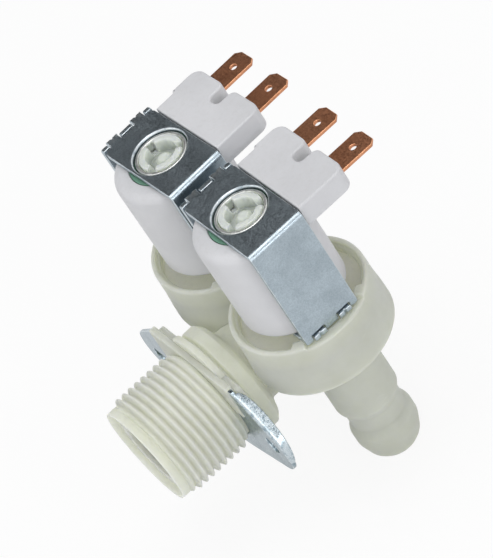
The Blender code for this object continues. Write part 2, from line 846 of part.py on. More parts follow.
def yoke_section():
    """L-shaped section of one yoke plate in XZ, with a round bend at its outer corner."""
    steps = 5
    arc = [(yoke_outer - bend_radius * (1 - math.cos(angle)),
            yoke_top_z - bend_radius * (1 - math.sin(angle)))
           for angle in [math.pi / 2 * step / steps for step in range(steps + 1)]]
    inner_top = yoke_top_z - sheet_yoke
    return [
        (gap - yoke_inner, inner_top), (yoke_inner, inner_top), (yoke_inner, yoke_bottom_z),
        (yoke_outer, yoke_bottom_z), *arc, (gap - yoke_inner, yoke_top_z),
    ]


def yoke_plate(name, parent, turned):
    """One of the two identical yoke plates. The lower one is the upper one turned over."""
    look = ((0.50, 0.54, 0.57), 0.3, 1.0)
    wide = yoke_half_width
    made = solid(name, slab(yoke_section(), -wide, wide, "Y"), look, parent, smooth=30)
    inner_top = yoke_top_z - sheet_yoke
    tabs = [box((-yoke_outer - tab_proud, spot - tab_width / 2, inner_top),
                (mm - yoke_inner, spot + tab_width / 2, yoke_top_z))
            for spot in (-tab_centre, tab_centre)]
    join(made, f"{name}_tab_tool", merged(*tabs), parent)
    notches = [box((yoke_inner - mm, spot - tab_width / 2 - gap, yoke_bottom_z - mm),
                   (yoke_outer + mm, spot + tab_width / 2 + gap, yoke_bottom_z + sheet_yoke + gap))
               for spot in (-tab_centre, tab_centre)]
    cut(made, f"{name}_notch_tool", merged(*notches), parent)
    hole = drum(sleeve_radius + gap, inner_top - mm, yoke_top_z + mm, medium)
    cut(made, f"{name}_hole_tool", hole, parent)
    if turned:
        flip = Matrix.Rotation(math.pi, 4, "Y")
        middle = Matrix.Translation((0, 0, (yoke_top_z + yoke_bottom_z) / 2))
        turn = middle @ flip @ middle.inverted()
        for item in bpy.data.objects:
            if item.name == name or item.name.startswith(f"{name}_"):
                item.matrix_local = turn @ item.matrix_local
    return made


def valve(side, label, twist):
    """All the loose pieces of one valve, round its own upright axis."""
    upright = empty(f"{label}_valve", (side * pitch / 2, axis_y, 0))
    moving = empty(f"{label}_plunger_axis", (0, 0, 0), 0.0, upright)
    coil = empty(f"{label}_coil", (0, 0, 0), twist, upright)
    guide_tube(f"{label}_guide_tube", upright)
    diaphragm(f"{label}_diaphragm", upright)
    insert(f"{label}_diaphragm_insert", moving)
    core = plunger(f"{label}_plunger", moving)
    seal(f"{label}_plunger_seal", core)
    spring(f"{label}_return_spring", moving)
    bobbin(f"{label}_bobbin", coil)
    winding(f"{label}_winding", coil)
    coil_jacket(f"{label}_coil_jacket", coil)
    sleeve(f"{label}_upper_sleeve", yoke_top_z - sleeve_length, coil)
    sleeve(f"{label}_lower_sleeve", yoke_bottom_z, coil)
    yoke_plate(f"{label}_upper_yoke", coil, False)
    yoke_plate(f"{label}_lower_yoke", coil, True)
    terminal(f"{label}_terminal_left", -blade_spacing / 2, coil)
    terminal(f"{label}_terminal_right", blade_spacing / 2, coil)


def main():
    """Clear the scene and build the whole valve."""
    for item in list(bpy.data.objects):
        bpy.data.objects.remove(item)
    body()
    bracket()
    strainer()
    regulator()
    valve(1, "near", 0.0)
    valve(-1, "far", far_twist)


main()
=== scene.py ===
# %% [markdown]
# # A dishwasher's double inlet valve, finished in Blender
#
# The valve has one moulded nylon body with a threaded inlet, two diaphragm chambers and two hose
# outlets. A solenoid coil with a folded steel yoke stands on each chamber. The sizes and the joints
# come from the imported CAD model, so this lesson only adds fine shapes and finishes over it.
# Loading the frame first means that every new piece can sit exactly where its CAD node is.

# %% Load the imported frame
import math

import bmesh
import bpy
import numpy as np
from mathutils import Matrix, Vector


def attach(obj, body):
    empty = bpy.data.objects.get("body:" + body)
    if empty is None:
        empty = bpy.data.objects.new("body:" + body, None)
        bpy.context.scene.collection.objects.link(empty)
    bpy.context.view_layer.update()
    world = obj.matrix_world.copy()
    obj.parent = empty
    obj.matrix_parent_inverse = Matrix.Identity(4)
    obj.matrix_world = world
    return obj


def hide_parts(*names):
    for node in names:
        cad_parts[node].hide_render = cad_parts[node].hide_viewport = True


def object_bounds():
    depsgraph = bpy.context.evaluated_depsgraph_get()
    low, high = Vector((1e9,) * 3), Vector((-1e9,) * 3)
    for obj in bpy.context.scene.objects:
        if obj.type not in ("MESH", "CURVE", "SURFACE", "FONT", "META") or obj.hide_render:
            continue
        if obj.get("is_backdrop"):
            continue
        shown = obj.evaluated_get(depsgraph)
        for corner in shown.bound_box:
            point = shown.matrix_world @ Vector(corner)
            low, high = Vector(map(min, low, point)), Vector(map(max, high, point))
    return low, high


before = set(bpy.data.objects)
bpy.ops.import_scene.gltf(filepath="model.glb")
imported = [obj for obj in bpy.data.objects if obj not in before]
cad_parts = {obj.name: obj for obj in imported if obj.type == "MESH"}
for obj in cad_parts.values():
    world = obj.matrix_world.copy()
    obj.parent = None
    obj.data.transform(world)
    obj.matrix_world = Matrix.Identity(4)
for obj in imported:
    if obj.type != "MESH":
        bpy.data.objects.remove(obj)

cad_low, cad_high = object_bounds()
mm = 0.001
print("nodes in the frame:", len(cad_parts))
print("CAD box in mm:", [round(side / mm, 1) for side in cad_high - cad_low])

# %% [markdown]
# ## Sizes shared by several pieces
#
# A size could be typed again wherever it is needed, but then two pieces that touch could drift
# apart. The ones that tie pieces together are named once here, in metres, as the CAD has them.

# %% Name the shared sizes
pitch = 31.2 * mm
axis_y = 23.8 * mm
valves = {"near": (pitch / 2, 0.0), "far": (-pitch / 2, math.radians(1.9))}
plate_top = 47.0 * mm
plate_foot = 18.5 * mm
print("near and far coil axes at x =", [round(spot[0] / mm, 1) for spot in valves.values()], "mm")

# %% [markdown]
# ## Outlines with rounded corners
#
# Nearly every edge on a moulded or stamped piece is a small arc, and that arc is what catches the
# light. An outline could be drawn sharp and rounded later by a modifier. Here each corner carries
# its own radius from the start, so one list of corners says everything about a section.

# %% Round corners and space points
def unit(vectors):
    """Each vector divided by its own length."""
    return vectors / np.linalg.norm(vectors, axis=-1, keepdims=True)


def rounded(corners, steps=6, closed=True):
    """Points of an outline in mm made metres: at each (u, v, radius) corner the arc that touches
    both sides, as a blend of two radii weighted by sines, so that its points lie on the circle."""
    spots = np.array([corner[:2] for corner in corners], float)
    parts = []
    for index, (here, radius) in enumerate(zip(spots, [corner[2] for corner in corners])):
        ends = not closed and index in (0, len(spots) - 1)
        if radius <= 0 or ends:
            parts.append(here[None])
            continue
        before = unit(spots[index - 1] - here)
        after = unit(spots[(index + 1) % len(spots)] - here)
        half = math.acos(np.clip(before @ after, -1, 1)) / 2
        centre = here + unit(before + after) * radius / math.sin(half)
        sweep = math.pi - 2 * half
        share = np.linspace(0, 1, steps + 1)[:, None]
        first = here + before * radius / math.tan(half) - centre
        last = here + after * radius / math.tan(half) - centre
        arc = np.sin((1 - share) * sweep) * first + np.sin(share * sweep) * last
        parts.append(arc / math.sin(sweep) + centre)
    return np.concatenate(parts) * mm


def spaced(outline, longest, closed=True):
    """The same outline with extra points, so that no straight stretch is longer than longest."""
    ends = np.roll(outline, -1, axis=0) if closed else outline[1:]
    starts = outline if closed else outline[:-1]
    counts = np.maximum(1, np.ceil(np.linalg.norm(ends - starts, axis=1) / longest)).astype(int)
    first = np.repeat(np.cumsum(counts) - counts, counts)
    share = ((np.arange(counts.sum()) - first) / np.repeat(counts, counts))[:, None]
    made = np.repeat(starts, counts, axis=0) * (1 - share) + np.repeat(ends, counts, axis=0) * share
    return made if closed else np.vstack([made, outline[-1]])


def wound(outline, left=True):
    """The outline with its inside on the left, or on the right."""
    after = np.roll(outline, -1, axis=0)
    area = np.sum(outline[:, 0] * after[:, 1] - outline[:, 1] * after[:, 0])
    return outline if (area > 0) == left else outline[::-1]


def inset(outline, amount):
    """The outline moved to its left: each corner goes along the sum of its sides' normals."""
    forward = unit(np.roll(outline, -1, axis=0) - outline)
    normal = np.stack([-forward[:, 1], forward[:, 0]], axis=1)
    before = np.roll(normal, 1, axis=0)
    mitre = (before + normal) / (1 + np.sum(before * normal, axis=1, keepdims=True))
    return outline + mitre * amount


def arc(radius, turns, centre=(0, 0)):
    """Points on a circle: the centre plus the radius times the cosine and sine of each angle."""
    return np.column_stack([np.cos(turns), np.sin(turns)]) * radius + centre


def circle(count_of_points):
    """Angles spaced evenly round a full turn."""
    return np.linspace(0, math.tau, count_of_points, endpoint=False)


square = spaced(rounded([(0, 0, 1), (10, 0, 1), (10, 10, 1), (0, 10, 1)]), 2 * mm)
print("a rounded square has", len(square), "points and is wound left:", wound(square) is square)

# %% [markdown]
# ## Two ways to make a surface
#
# Round pieces come off a lathe or out of a round mould, so a profile turned about an axis is their
# natural form. Flat pieces are stamped or moulded to one thickness, so their form is an edge
# profile carried along an outline, with both faces filled. A stored "rim" value marks the rounded
# edges, where plating and moulded skin wear first, and the materials read it later.

# %% Build shells from grids of points
def shell(grid, closed_rows, rim):
    """A bmesh from rows of points. The columns close round, and the rows too if asked."""
    rows, columns = grid.shape[:2]
    index = np.arange(rows * columns).reshape(rows, columns)
    right = np.roll(index, -1, axis=1)
    quads = np.stack([index, right, np.roll(right, -1, axis=0), np.roll(index, -1, axis=0)], axis=-1)
    quads = quads if closed_rows else quads[:-1]
    mesh = bpy.data.meshes.new("shell")
    mesh.from_pydata(grid.reshape(-1, 3).tolist(), [], quads.reshape(-1, 4).tolist())
    worn = np.broadcast_to(rim[:, None], (rows, columns)).astype(np.float32)
    mesh.attributes.new("rim", "FLOAT", "POINT").data.foreach_set("value", worn.ravel())
    made = bmesh.new()
    made.from_mesh(mesh)
    bpy.data.meshes.remove(mesh)
    return made


def turned(profile, columns=96, along="Z", centre=(0, 0, 0), shape=None, extra=()):
    """A (radius, height) profile turned about an axis: x is radius times cosine, y radius times
    sine. shape may change radius and height by angle. A profile from axis to axis gets two poles."""
    angles = np.union1d(np.arange(columns) * math.tau / columns, np.mod(extra, math.tau))
    turn = np.repeat(angles[None], len(profile), axis=0)
    radius = np.repeat(profile[:, :1], len(angles), axis=1)
    height = np.repeat(profile[:, 1:], len(angles), axis=1)
    if shape:
        radius, height = shape(radius, height, turn)
    grid = np.stack([radius * np.cos(turn), radius * np.sin(turn), height], axis=-1)
    if along == "Y":
        grid = np.stack([grid[..., 0], grid[..., 2], -grid[..., 1]], axis=-1)
    closed = max(profile[0, 0], profile[-1, 0]) > 1e-9
    forward = unit(np.roll(profile, -1, axis=0) - profile + 1e-12)
    bend = np.arccos(np.clip(np.sum(forward * np.roll(forward, 1, axis=0), axis=1), -1, 1))
    rim = np.clip(bend / math.radians(12), 0, 1)
    if not closed:
        rim[[0, -1]] = 0
    made = shell(grid + np.array(centre), closed, rim)
    return sealed(made)


def sealed(made):
    """Merge the points at poles and seams, and point every face outwards."""
    bmesh.ops.remove_doubles(made, verts=made.verts, dist=0.5e-6)
    bmesh.ops.recalc_face_normals(made, faces=made.faces)
    return made


def filled(made, cuts=()):
    """Close the flat lower and upper ends of a wall, holes and all, and cut lines for a fold."""
    heights = [vertex.co.z for vertex in made.verts]
    loose = [edge for edge in made.edges if edge.is_boundary]
    for level in (min(heights), max(heights)):
        ends = [edge for edge in loose if abs(edge.verts[0].co.z - level) < 1e-8]
        bmesh.ops.triangle_fill(made, edges=ends, use_beauty=True)
    for spot in cuts:
        parts = made.verts[:] + made.edges[:] + made.faces[:]
        bmesh.ops.bisect_plane(made, geom=parts, plane_co=(spot, 0, 0), plane_no=(1, 0, 0))
    return sealed(made)


def stacked(layers, rim):
    """A wall through outlines at growing heights, open at both ends."""
    grid = np.stack([np.column_stack([line, np.full(len(line), z)]) for line, z in layers])
    return shell(grid, False, np.array(rim, float))


def edge_wall(outline, low, high, edge, steps):
    """The wall of a plate: a quarter arc of radius edge below and above, and one more row just
    inside each so that the faces stay flat. The rim is strongest halfway round the arc."""
    turn = np.linspace(0, math.pi / 2, steps + 1)
    pull = np.concatenate([[edge + 0.12 * mm], edge * (1 - np.sin(turn))])
    rise = np.concatenate([[0], edge * (1 - np.cos(turn))])
    rim = np.concatenate([[0], np.sin(2 * turn) * 0.8 + 0.2 * (turn > 0)])
    pulls, rims = np.concatenate([pull, pull[::-1]]), np.concatenate([rim, rim[::-1]])
    heights = np.concatenate([low + rise, (high - rise)[::-1]])
    return stacked([(inset(outline, p), z) for p, z in zip(pulls, heights)], rims)


def plate(outline, low, high, edge, holes=(), hole_edge=None, cuts=(), steps=3):
    """A flat piece between two heights with rounded edges, also round its holes."""
    walls = [edge_wall(wound(outline), low, high, edge, steps)]
    walls += [edge_wall(wound(hole, left=False), low, high, hole_edge or edge, steps) for hole in holes]
    return filled(joined(walls), cuts)


def joined(shells):
    """Several shells in one bmesh."""
    whole = bmesh.new()
    for item in shells:
        part = bpy.data.meshes.new("part")
        item.to_mesh(part)
        whole.from_mesh(part)
        item.free()
        bpy.data.meshes.remove(part)
    return whole


trial = plate(square, 0, 2 * mm, 0.4 * mm)
open_edges = sum(edge.is_boundary for edge in trial.edges)
print("a trial plate has", len(trial.faces), "faces, open edges:", open_edges)
trial.free()

# %% [markdown]
# ## From shell to piece
#
# A finished piece keeps its place in its own mesh and its object at the origin, because patterns
# on object coordinates would slide otherwise. Each piece hides the CAD node it stands for and is
# parented to an empty for the body it moves with.

# %% Turn shells into pieces that ride on a body
def piece(name, shells, look, node, place=None, body="valve", sharp=48, struck=None):
    """Join shells, move all their points at once with place, and hand the object to the frame.
    struck gives the points that were hammered or rubbed, which count as worn rims too."""
    whole = joined(shells)
    mesh = bpy.data.meshes.new(name)
    whole.to_mesh(mesh)
    whole.free()
    spots = np.empty(len(mesh.vertices) * 3)
    mesh.vertices.foreach_get("co", spots)
    if struck:
        rim = np.empty(len(mesh.vertices), np.float32)
        mesh.attributes["rim"].data.foreach_get("value", rim)
        rim = np.maximum(rim, struck(spots.reshape(-1, 3))).astype(np.float32)
        mesh.attributes["rim"].data.foreach_set("value", rim)
    if place:
        spots = place(spots.reshape(-1, 3)).ravel()
        mesh.vertices.foreach_set("co", spots)
    mesh.update()
    mesh.shade_smooth()
    mesh.set_sharp_from_angle(angle=math.radians(sharp))
    mesh.materials.append(look)
    made = bpy.data.objects.new(name, mesh)
    bpy.context.scene.collection.objects.link(made)
    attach(made, body)
    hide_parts(node)
    spots = spots.reshape(-1, 3)
    size = (spots.max(axis=0) - spots.min(axis=0)) / mm
    print(f"{name}: {len(mesh.polygons)} faces, {size.round(1)} mm")
    return made


def stand(label, twisted=True):
    """The move from a valve's own upright axis to its place: a small turn about Z, then a shift.
    The coils are twisted a little on their tubes. The tubes themselves are not."""
    across, twist = valves[label]
    turn = np.array(Matrix.Rotation(twist if twisted else 0.0, 3, "Z"))
    return lambda spots: spots @ turn.T + np.array([across, axis_y, 0])


print("far coil is twisted by", round(math.degrees(valves["far"][1]), 1), "degrees")


# %% [markdown]
# ## Effects shared by the materials
#
# A finish could be built node by node in each material. The valve's plastics, metals and rubbers
# share a few kinds of wear, so each effect is one node group with inputs, and a material only sets
# its own values. The groups give out only masks, heights and varying values, and the shader itself
# stays in the material.

# %% Short names for making nodes
def put(tree, kind, values=None, **settings):
    """A new node with its settings and its input values or links."""
    node = tree.nodes.new(kind)
    for key, value in settings.items():
        setattr(node, key, value)
    for key, value in (values or {}).items():
        if isinstance(value, bpy.types.NodeSocket):
            tree.links.new(value, node.inputs[key])
        else:
            node.inputs[key].default_value = value
    return node


def count(tree, operation, first, second=0.0):
    """One arithmetic step."""
    return put(tree, "ShaderNodeMath", {0: first, 1: second}, operation=operation).outputs[0]


def times(tree, first, second):
    """The product of two values."""
    return count(tree, "MULTIPLY", first, second)


def spread(tree, value, low, high, to_low=0.0, to_high=1.0):
    """A value's range from low to high, eased onto another range."""
    values = {"Value": value, "From Min": low, "From Max": high, "To Min": to_low, "To Max": to_high}
    return put(tree, "ShaderNodeMapRange", values, interpolation_type="SMOOTHSTEP").outputs[0]


def noise(tree, place, scale, detail=3.0, roughness=0.55):
    """Soft random values from 0 to 1 over the surface."""
    values = {"Vector": place, "Scale": scale, "Detail": detail, "Roughness": roughness}
    return put(tree, "ShaderNodeTexNoise", values).outputs["Fac"]


def stretch(tree, place, scale, turn=(0, 0, 0)):
    """The coordinates turned and stretched, for marks that run one way."""
    values = {"Vector": place, "Scale": scale, "Rotation": turn}
    return put(tree, "ShaderNodeMapping", values).outputs[0]


def mixed(tree, share, first, second):
    """Two colours mixed by a mask. The node's inputs 6 and 7 are its colours."""
    return put(tree, "ShaderNodeMix", {0: share, 6: first, 7: second}, data_type="RGBA").outputs[2]


def group(name, takes, gives):
    """An empty node group with named inputs and outputs."""
    tree = bpy.data.node_groups.new(name, "ShaderNodeTree")
    for label, kind in takes.items():
        tree.interface.new_socket(name=label, in_out="INPUT", socket_type=f"NodeSocket{kind}")
    for label in gives:
        tree.interface.new_socket(name=label, in_out="OUTPUT", socket_type="NodeSocketFloat")
    return tree, tree.nodes.new("NodeGroupInput").outputs, tree.nodes.new("NodeGroupOutput").inputs


print("helpers for nodes:", [maker.__name__ for maker in (put, count, spread, noise, stretch, mixed, group)])


# %% [markdown]
# ### Moulded skin, rolled sheet, scratches, worn rims, tarnish and dust
#
# Moulded plastic is never quite even: its tone drifts slowly where the melt flowed, and its skin
# has a fine grain. Rolled and zinc plated sheet has a speckle of crystals and faint lines along
# the rolling direction. Handling adds hairline scratches, bright rims, cloudy tarnish and dust.

# %% Group: moulded skin
skin, taken, given = group(
    "moulded_skin", {"Place": "Vector", "Grain": "Float", "Cloud": "Float"}, ["Tone", "Gloss", "Height"])
cloud = noise(skin, taken["Place"], taken["Cloud"], 4.0)
fine = noise(skin, taken["Place"], taken["Grain"], 2.0)
wave = noise(skin, taken["Place"], times(skin, taken["Grain"], 0.12), 3.0)
skin.links.new(spread(skin, cloud, 0.3, 0.7), given["Tone"])
skin.links.new(spread(skin, wave, 0.3, 0.7), given["Gloss"])
skin.links.new(count(skin, "ADD", times(skin, fine, 0.55), wave), given["Height"])
print(skin.name, "gives", list(given.keys())[:3])

# %% Group: rolled sheet
sheet, taken, given = group(
    "rolled_sheet", {"Place": "Vector", "Speckle": "Float", "Lines": "Float"}, ["Tone", "Gloss", "Height"])
crystal = noise(sheet, taken["Place"], taken["Speckle"], 6.0, 0.75)
patch = noise(sheet, taken["Place"], times(sheet, taken["Speckle"], 0.08), 3.0)
along = stretch(sheet, taken["Place"], (1.0, 0.03, 0.03))
lines = noise(sheet, along, taken["Lines"], 4.0, 0.7)
speckle = spread(sheet, crystal, 0.35, 0.65)
mottle = count(sheet, "ADD", times(sheet, speckle, 0.6), times(sheet, patch, 0.4))
sheet.links.new(mottle, given["Tone"])
grainy = count(sheet, "ADD", times(sheet, patch, 0.3), times(sheet, speckle, 0.7))
sheet.links.new(spread(sheet, grainy, 0.15, 0.85), given["Gloss"])
sheet.links.new(count(sheet, "ADD", crystal, times(sheet, lines, 0.6)), given["Height"])
print(sheet.name, "gives", list(given.keys())[:3])

# %% Group: hairline scratches
scratch, taken, given = group("hairline_scratches", {"Place": "Vector", "Scale": "Float"}, ["Mask"])
kept = spread(scratch, noise(scratch, taken["Place"], 420.0, 2.0), 0.56, 0.7)
marks = []
for turn in (0.5, 0.62, 0.8):
    run = stretch(scratch, taken["Place"], (1.0, 0.05, 0.4), (turn, turn * 0.7, turn))
    level = noise(scratch, run, taken["Scale"], 1.0)
    away = count(scratch, "ABSOLUTE", count(scratch, "SUBTRACT", level, 0.5))
    marks.append(spread(scratch, away, 0.012, 0.0))
most = count(scratch, "MAXIMUM", count(scratch, "MAXIMUM", marks[0], marks[1]), marks[2])
scratch.links.new(times(scratch, most, kept), given["Mask"])
print(scratch.name, "has scratches in", len(marks), "directions")

# %% Group: worn rims
worn, taken, given = group("worn_rim", {"Place": "Vector", "Rim": "Float", "Scale": "Float"}, ["Mask"])
broken = spread(worn, noise(worn, taken["Place"], taken["Scale"], 4.0), 0.3, 0.6)
worn.links.new(times(worn, taken["Rim"], broken), given["Mask"])
print(worn.name, "has", len(worn.nodes), "nodes")

# %% Group: tarnish
tarnish, taken, given = group("tarnish", {"Place": "Vector", "Scale": "Float"}, ["Cloud"])
soft = noise(tarnish, taken["Place"], taken["Scale"], 5.0, 0.65)
tarnish.links.new(spread(tarnish, soft, 0.38, 0.66), given["Cloud"])
print(tarnish.name, "has", len(tarnish.nodes), "nodes")

# %% Group: settled dust
dust, taken, given = group(
    "settled_dust", {"Place": "Vector", "Facing": "Vector", "Scale": "Float"}, ["Mask"])
upward = put(dust, "ShaderNodeSeparateXYZ", {0: taken["Facing"]}).outputs["Z"]
drift = spread(dust, noise(dust, taken["Place"], taken["Scale"], 6.0, 0.7), 0.42, 0.8)
dust.links.new(times(dust, spread(dust, upward, 0.2, 1.0), drift), given["Mask"])
groups = {"skin": skin, "sheet": sheet, "scratch": scratch, "worn": worn, "tarnish": tarnish, "dust": dust}
print("groups:", {name: len(tree.nodes) for name, tree in groups.items()})

# %% [markdown]
# ## Finishes
#
# Colours are written as they look on a screen and turned into linear light here, because the
# shader works in linear light. Every finish mixes a few close tones by the masks above, so that
# no surface is one flat colour. Plastic and metal differ only in a few constants on the shader.

# %% Start a material
def tone(red, green, blue):
    """A screen colour from 0 to 255 as linear light."""
    share = np.array([red, green, blue]) / 255
    light = np.where(share <= 0.04045, share / 12.92, ((share + 0.055) / 1.055) ** 2.4)
    return (*light.tolist(), 1.0)


def place_in(tree, name, **values):
    """One of the shared groups, put into a material with its values. Returns its outputs."""
    return put(tree, "ShaderNodeGroup", values, node_tree=groups[name]).outputs


def fresh(name, metallic=0.0, specular=0.5):
    """A new material: its node tree, its shader's inputs, and the object coordinates."""
    made = bpy.data.materials.new(name)
    made.use_nodes = True
    shader = made.node_tree.nodes["Principled BSDF"]
    shader.inputs["Metallic"].default_value = metallic
    shader.inputs["Specular IOR Level"].default_value = specular
    return made, made.node_tree, shader.inputs, put(made.node_tree, "ShaderNodeTexCoord").outputs


def bump(tree, height, distance, strength, surface=None):
    """A height as a bend of the surface normal, or of another normal that is handed in."""
    values = {"Height": height, "Distance": distance, "Strength": strength}
    if surface:
        values["Normal"] = surface
    return put(tree, "ShaderNodeBump", values).outputs[0]


print("white on the screen is", tone(255, 255, 255)[0], "and middle grey", round(tone(128, 128, 128)[0], 3))


# %% [markdown]
# ### Natural nylon and white plastic
#
# Undyed nylon lets light in, so its shadows are soft and its hollows look warm and olive instead
# of black. Light scattered under the skin shows the first part. It doesn't pass through a body
# made of overlapping shells, so a mask from ambient occlusion paints shade into the hollows in a
# warm olive tone and paints a faint light there by emission. Each plastic has such painted shade
# in its hollows in a tone of its own, and the inner nylon a paler painted tone, painted light that
# stands for light through the wall. The white plastic is opaque and leaves the scattering and the
# painted light by emission out.

# %% Plastic finishes
def plastic(name, light, dark, painted_hollow_tone, gloss=(0.42, 0.56), depth=0.5, reach=6.0, grain=5200.0,
            clear=0.0, shade=0.45, travel=4.5 * mm, shine=0.5, even=0.0, painted_glow=0.0):
    """Moulded plastic: two close tones by flow, a third painted where ambient occlusion finds walls
    close by (painted shade, and for the inner nylon painted light), grain and fine dust. reach is how
    many mm away a wall still counts, and shade the most share of that painted tone. clear is how much
    of the light passes under the skin, and travel how far it goes. shine is the strength of
    reflections and glow a painted light that the same places give out by emission. even blends the
    normal of the inlet's thread with the plain cylinder's, as light inside the wall evens out the
    shading of its turns."""
    made, tree, shader, spot = fresh(name, specular=shine)
    shader["Subsurface Weight"].default_value = clear
    shader["Subsurface Radius"].default_value = (1.0, 1.0, 0.8)
    shader["Subsurface Scale"].default_value = travel
    skin_of = place_in(tree, "skin", Place=spot["Object"], Grain=grain, Cloud=70.0)
    dust_of = place_in(tree, "dust", Place=spot["Object"], Facing=spot["Normal"], Scale=900.0)
    scratch_of = place_in(tree, "scratch", Place=spot["Object"], Scale=420.0)
    base = mixed(tree, skin_of["Tone"], light, dark)
    # Painted shade: where walls are close, the base colour is mixed towards the painted hollow tone, which
    # for the inner nylon is painted light.
    opened = put(tree, "ShaderNodeAmbientOcclusion", {"Distance": reach * mm}, samples=8).outputs["AO"]
    closed = spread(tree, opened, 0.95, 0.2, 0.0, shade)
    # Painted light: a faint light given out by emission where walls are close.
    if painted_glow:
        shader["Emission Strength"].default_value = 1.0
        through = spread(tree, opened, 0.95, 0.1, 0.0, painted_glow)
        tree.links.new(mixed(tree, through, (0.0, 0.0, 0.0, 1.0), light), shader["Emission Color"])
    base = mixed(tree, closed, base, painted_hollow_tone)
    rubbed = times(tree, scratch_of["Mask"], 0.25)
    base = mixed(tree, rubbed, base, tuple(min(1.0, c * 1.12) for c in light[:3]) + (1.0,))
    dusty = times(tree, dust_of["Mask"], 0.12)
    tree.links.new(mixed(tree, dusty, base, tone(150, 146, 132)), shader["Base Color"])
    rough = spread(tree, skin_of["Gloss"], 0.0, 1.0, *gloss)
    rough = count(tree, "ADD", rough, times(tree, dust_of["Mask"], 0.12))
    tree.links.new(rough, shader["Roughness"])
    height = count(tree, "SUBTRACT", skin_of["Height"], times(tree, scratch_of["Mask"], 0.6))
    surface = spot["Normal"]
    if even:
        flat = {0: spot["Object"], 1: (1.0, 0.0, 1.0)}
        outward = put(tree, "ShaderNodeVectorMath", flat, operation="MULTIPLY").outputs[0]
        outward = put(tree, "ShaderNodeVectorMath", {0: outward}, operation="NORMALIZE").outputs[0]
        depth_along = put(tree, "ShaderNodeSeparateXYZ", {0: spot["Object"]}).outputs["Y"]
        front = spread(tree, depth_along, -17.7 * mm, -17.3 * mm)
        back = spread(tree, depth_along, -0.8 * mm, -1.4 * mm)
        share = times(tree, times(tree, front, back), even)
        blend = {0: share, 4: surface, 5: outward}
        surface = put(tree, "ShaderNodeMix", blend, data_type="VECTOR").outputs[1]
    tree.links.new(bump(tree, height, 0.02 * mm, depth, surface), shader["Normal"])
    return made


# The third tone of each plastic is its painted hollow tone, painted shade; the glow values are painted light
# given out by emission.
nylon = plastic("natural_nylon", tone(202, 204, 195), tone(193, 195, 184), tone(190, 192, 166),
                clear=1.0, shade=0.2, gloss=(0.5, 0.62), painted_glow=0.13)
# The inlet is the same nylon as the chambers, written in paler tones: painted light.
inlet_nylon = plastic("inlet_nylon", tone(214, 216, 204), tone(206, 208, 194), tone(190, 192, 168),
                      clear=1.0, shade=0.15, gloss=(0.6, 0.75), shine=0.25, even=0.85, painted_glow=0.16)
# Painted light: this nylon is written paler than the rest, its hollow tone paler still, and it gives out a
# painted glow, standing in for light through the cup wall.
inner_nylon_painted_light = plastic("inner_nylon_painted_light", tone(240, 241, 218), tone(232, 234, 210), tone(246, 245, 216),
                      clear=1.0, shade=0.6, travel=6 * mm, painted_glow=0.1)
tip_nylon = plastic("guide_tube_nylon", tone(216, 222, 214), tone(206, 213, 204), tone(168, 176, 158),
                    reach=2.0, clear=1.0)
white = plastic("white_coil_plastic", tone(214, 214, 217), tone(207, 207, 210), tone(178, 178, 176),
                depth=0.6)
green = plastic("green_bobbin_plastic", tone(108, 156, 132), tone(92, 138, 116), tone(44, 72, 60),
                reach=1.5)
pale = plastic("pale_inner_plastic", tone(222, 224, 214), tone(212, 214, 204), tone(190, 192, 172),
               reach=4.0, clear=0.8, shade=0.25)
plastics = (nylon, inlet_nylon, inner_nylon_painted_light, tip_nylon, white, green, pale)
print("plastic finishes:", [look.name for look in plastics])

# %% [markdown]
# ### Plated steel, copper and rubber
#
# Zinc plate is a mirror broken up by crystals, so its tone and roughness both vary, and its rims
# are polished bright by handling. The copper terminals carry brown tarnish with the bare metal
# showing at their stamped edges. Rubber is dark, dull and slightly dusty.

# %% Metal finishes
def metal(name, light, dark, bright, gloss=(0.3, 0.44), speckle=5200.0, depth=0.16, clouds=0.25):
    """Plated or bare metal: crystals, rolling lines, scratches, bright worn rims and tarnish.
    speckle is how many crystals lie in a metre, and clouds how strongly the tarnish darkens."""
    made, tree, shader, spot = fresh(name, metallic=1.0)
    sheet_of = place_in(tree, "sheet", Place=spot["Object"], Speckle=speckle, Lines=2200.0)
    scratch_of = place_in(tree, "scratch", Place=spot["Object"], Scale=520.0)
    rim = put(tree, "ShaderNodeAttribute", attribute_name="rim").outputs["Fac"]
    worn_of = place_in(tree, "worn", Place=spot["Object"], Rim=rim, Scale=900.0)
    aged = place_in(tree, "tarnish", Place=spot["Object"], Scale=160.0)
    base = mixed(tree, sheet_of["Tone"], dark, light)
    clouded = times(tree, aged["Cloud"], clouds)
    base = mixed(tree, clouded, base, tuple(c * 0.62 for c in dark[:3]) + (1.0,))
    polish = count(tree, "MAXIMUM", times(tree, scratch_of["Mask"], 0.2), worn_of["Mask"])
    tree.links.new(mixed(tree, polish, base, bright), shader["Base Color"])
    rough = spread(tree, sheet_of["Gloss"], 0.0, 1.0, *gloss)
    rough = count(tree, "ADD", rough, times(tree, aged["Cloud"], 0.06))
    tree.links.new(rough, shader["Roughness"])
    height = count(tree, "SUBTRACT", sheet_of["Height"], times(tree, scratch_of["Mask"], 0.08))
    tree.links.new(bump(tree, height, 0.01 * mm, depth), shader["Normal"])
    return made


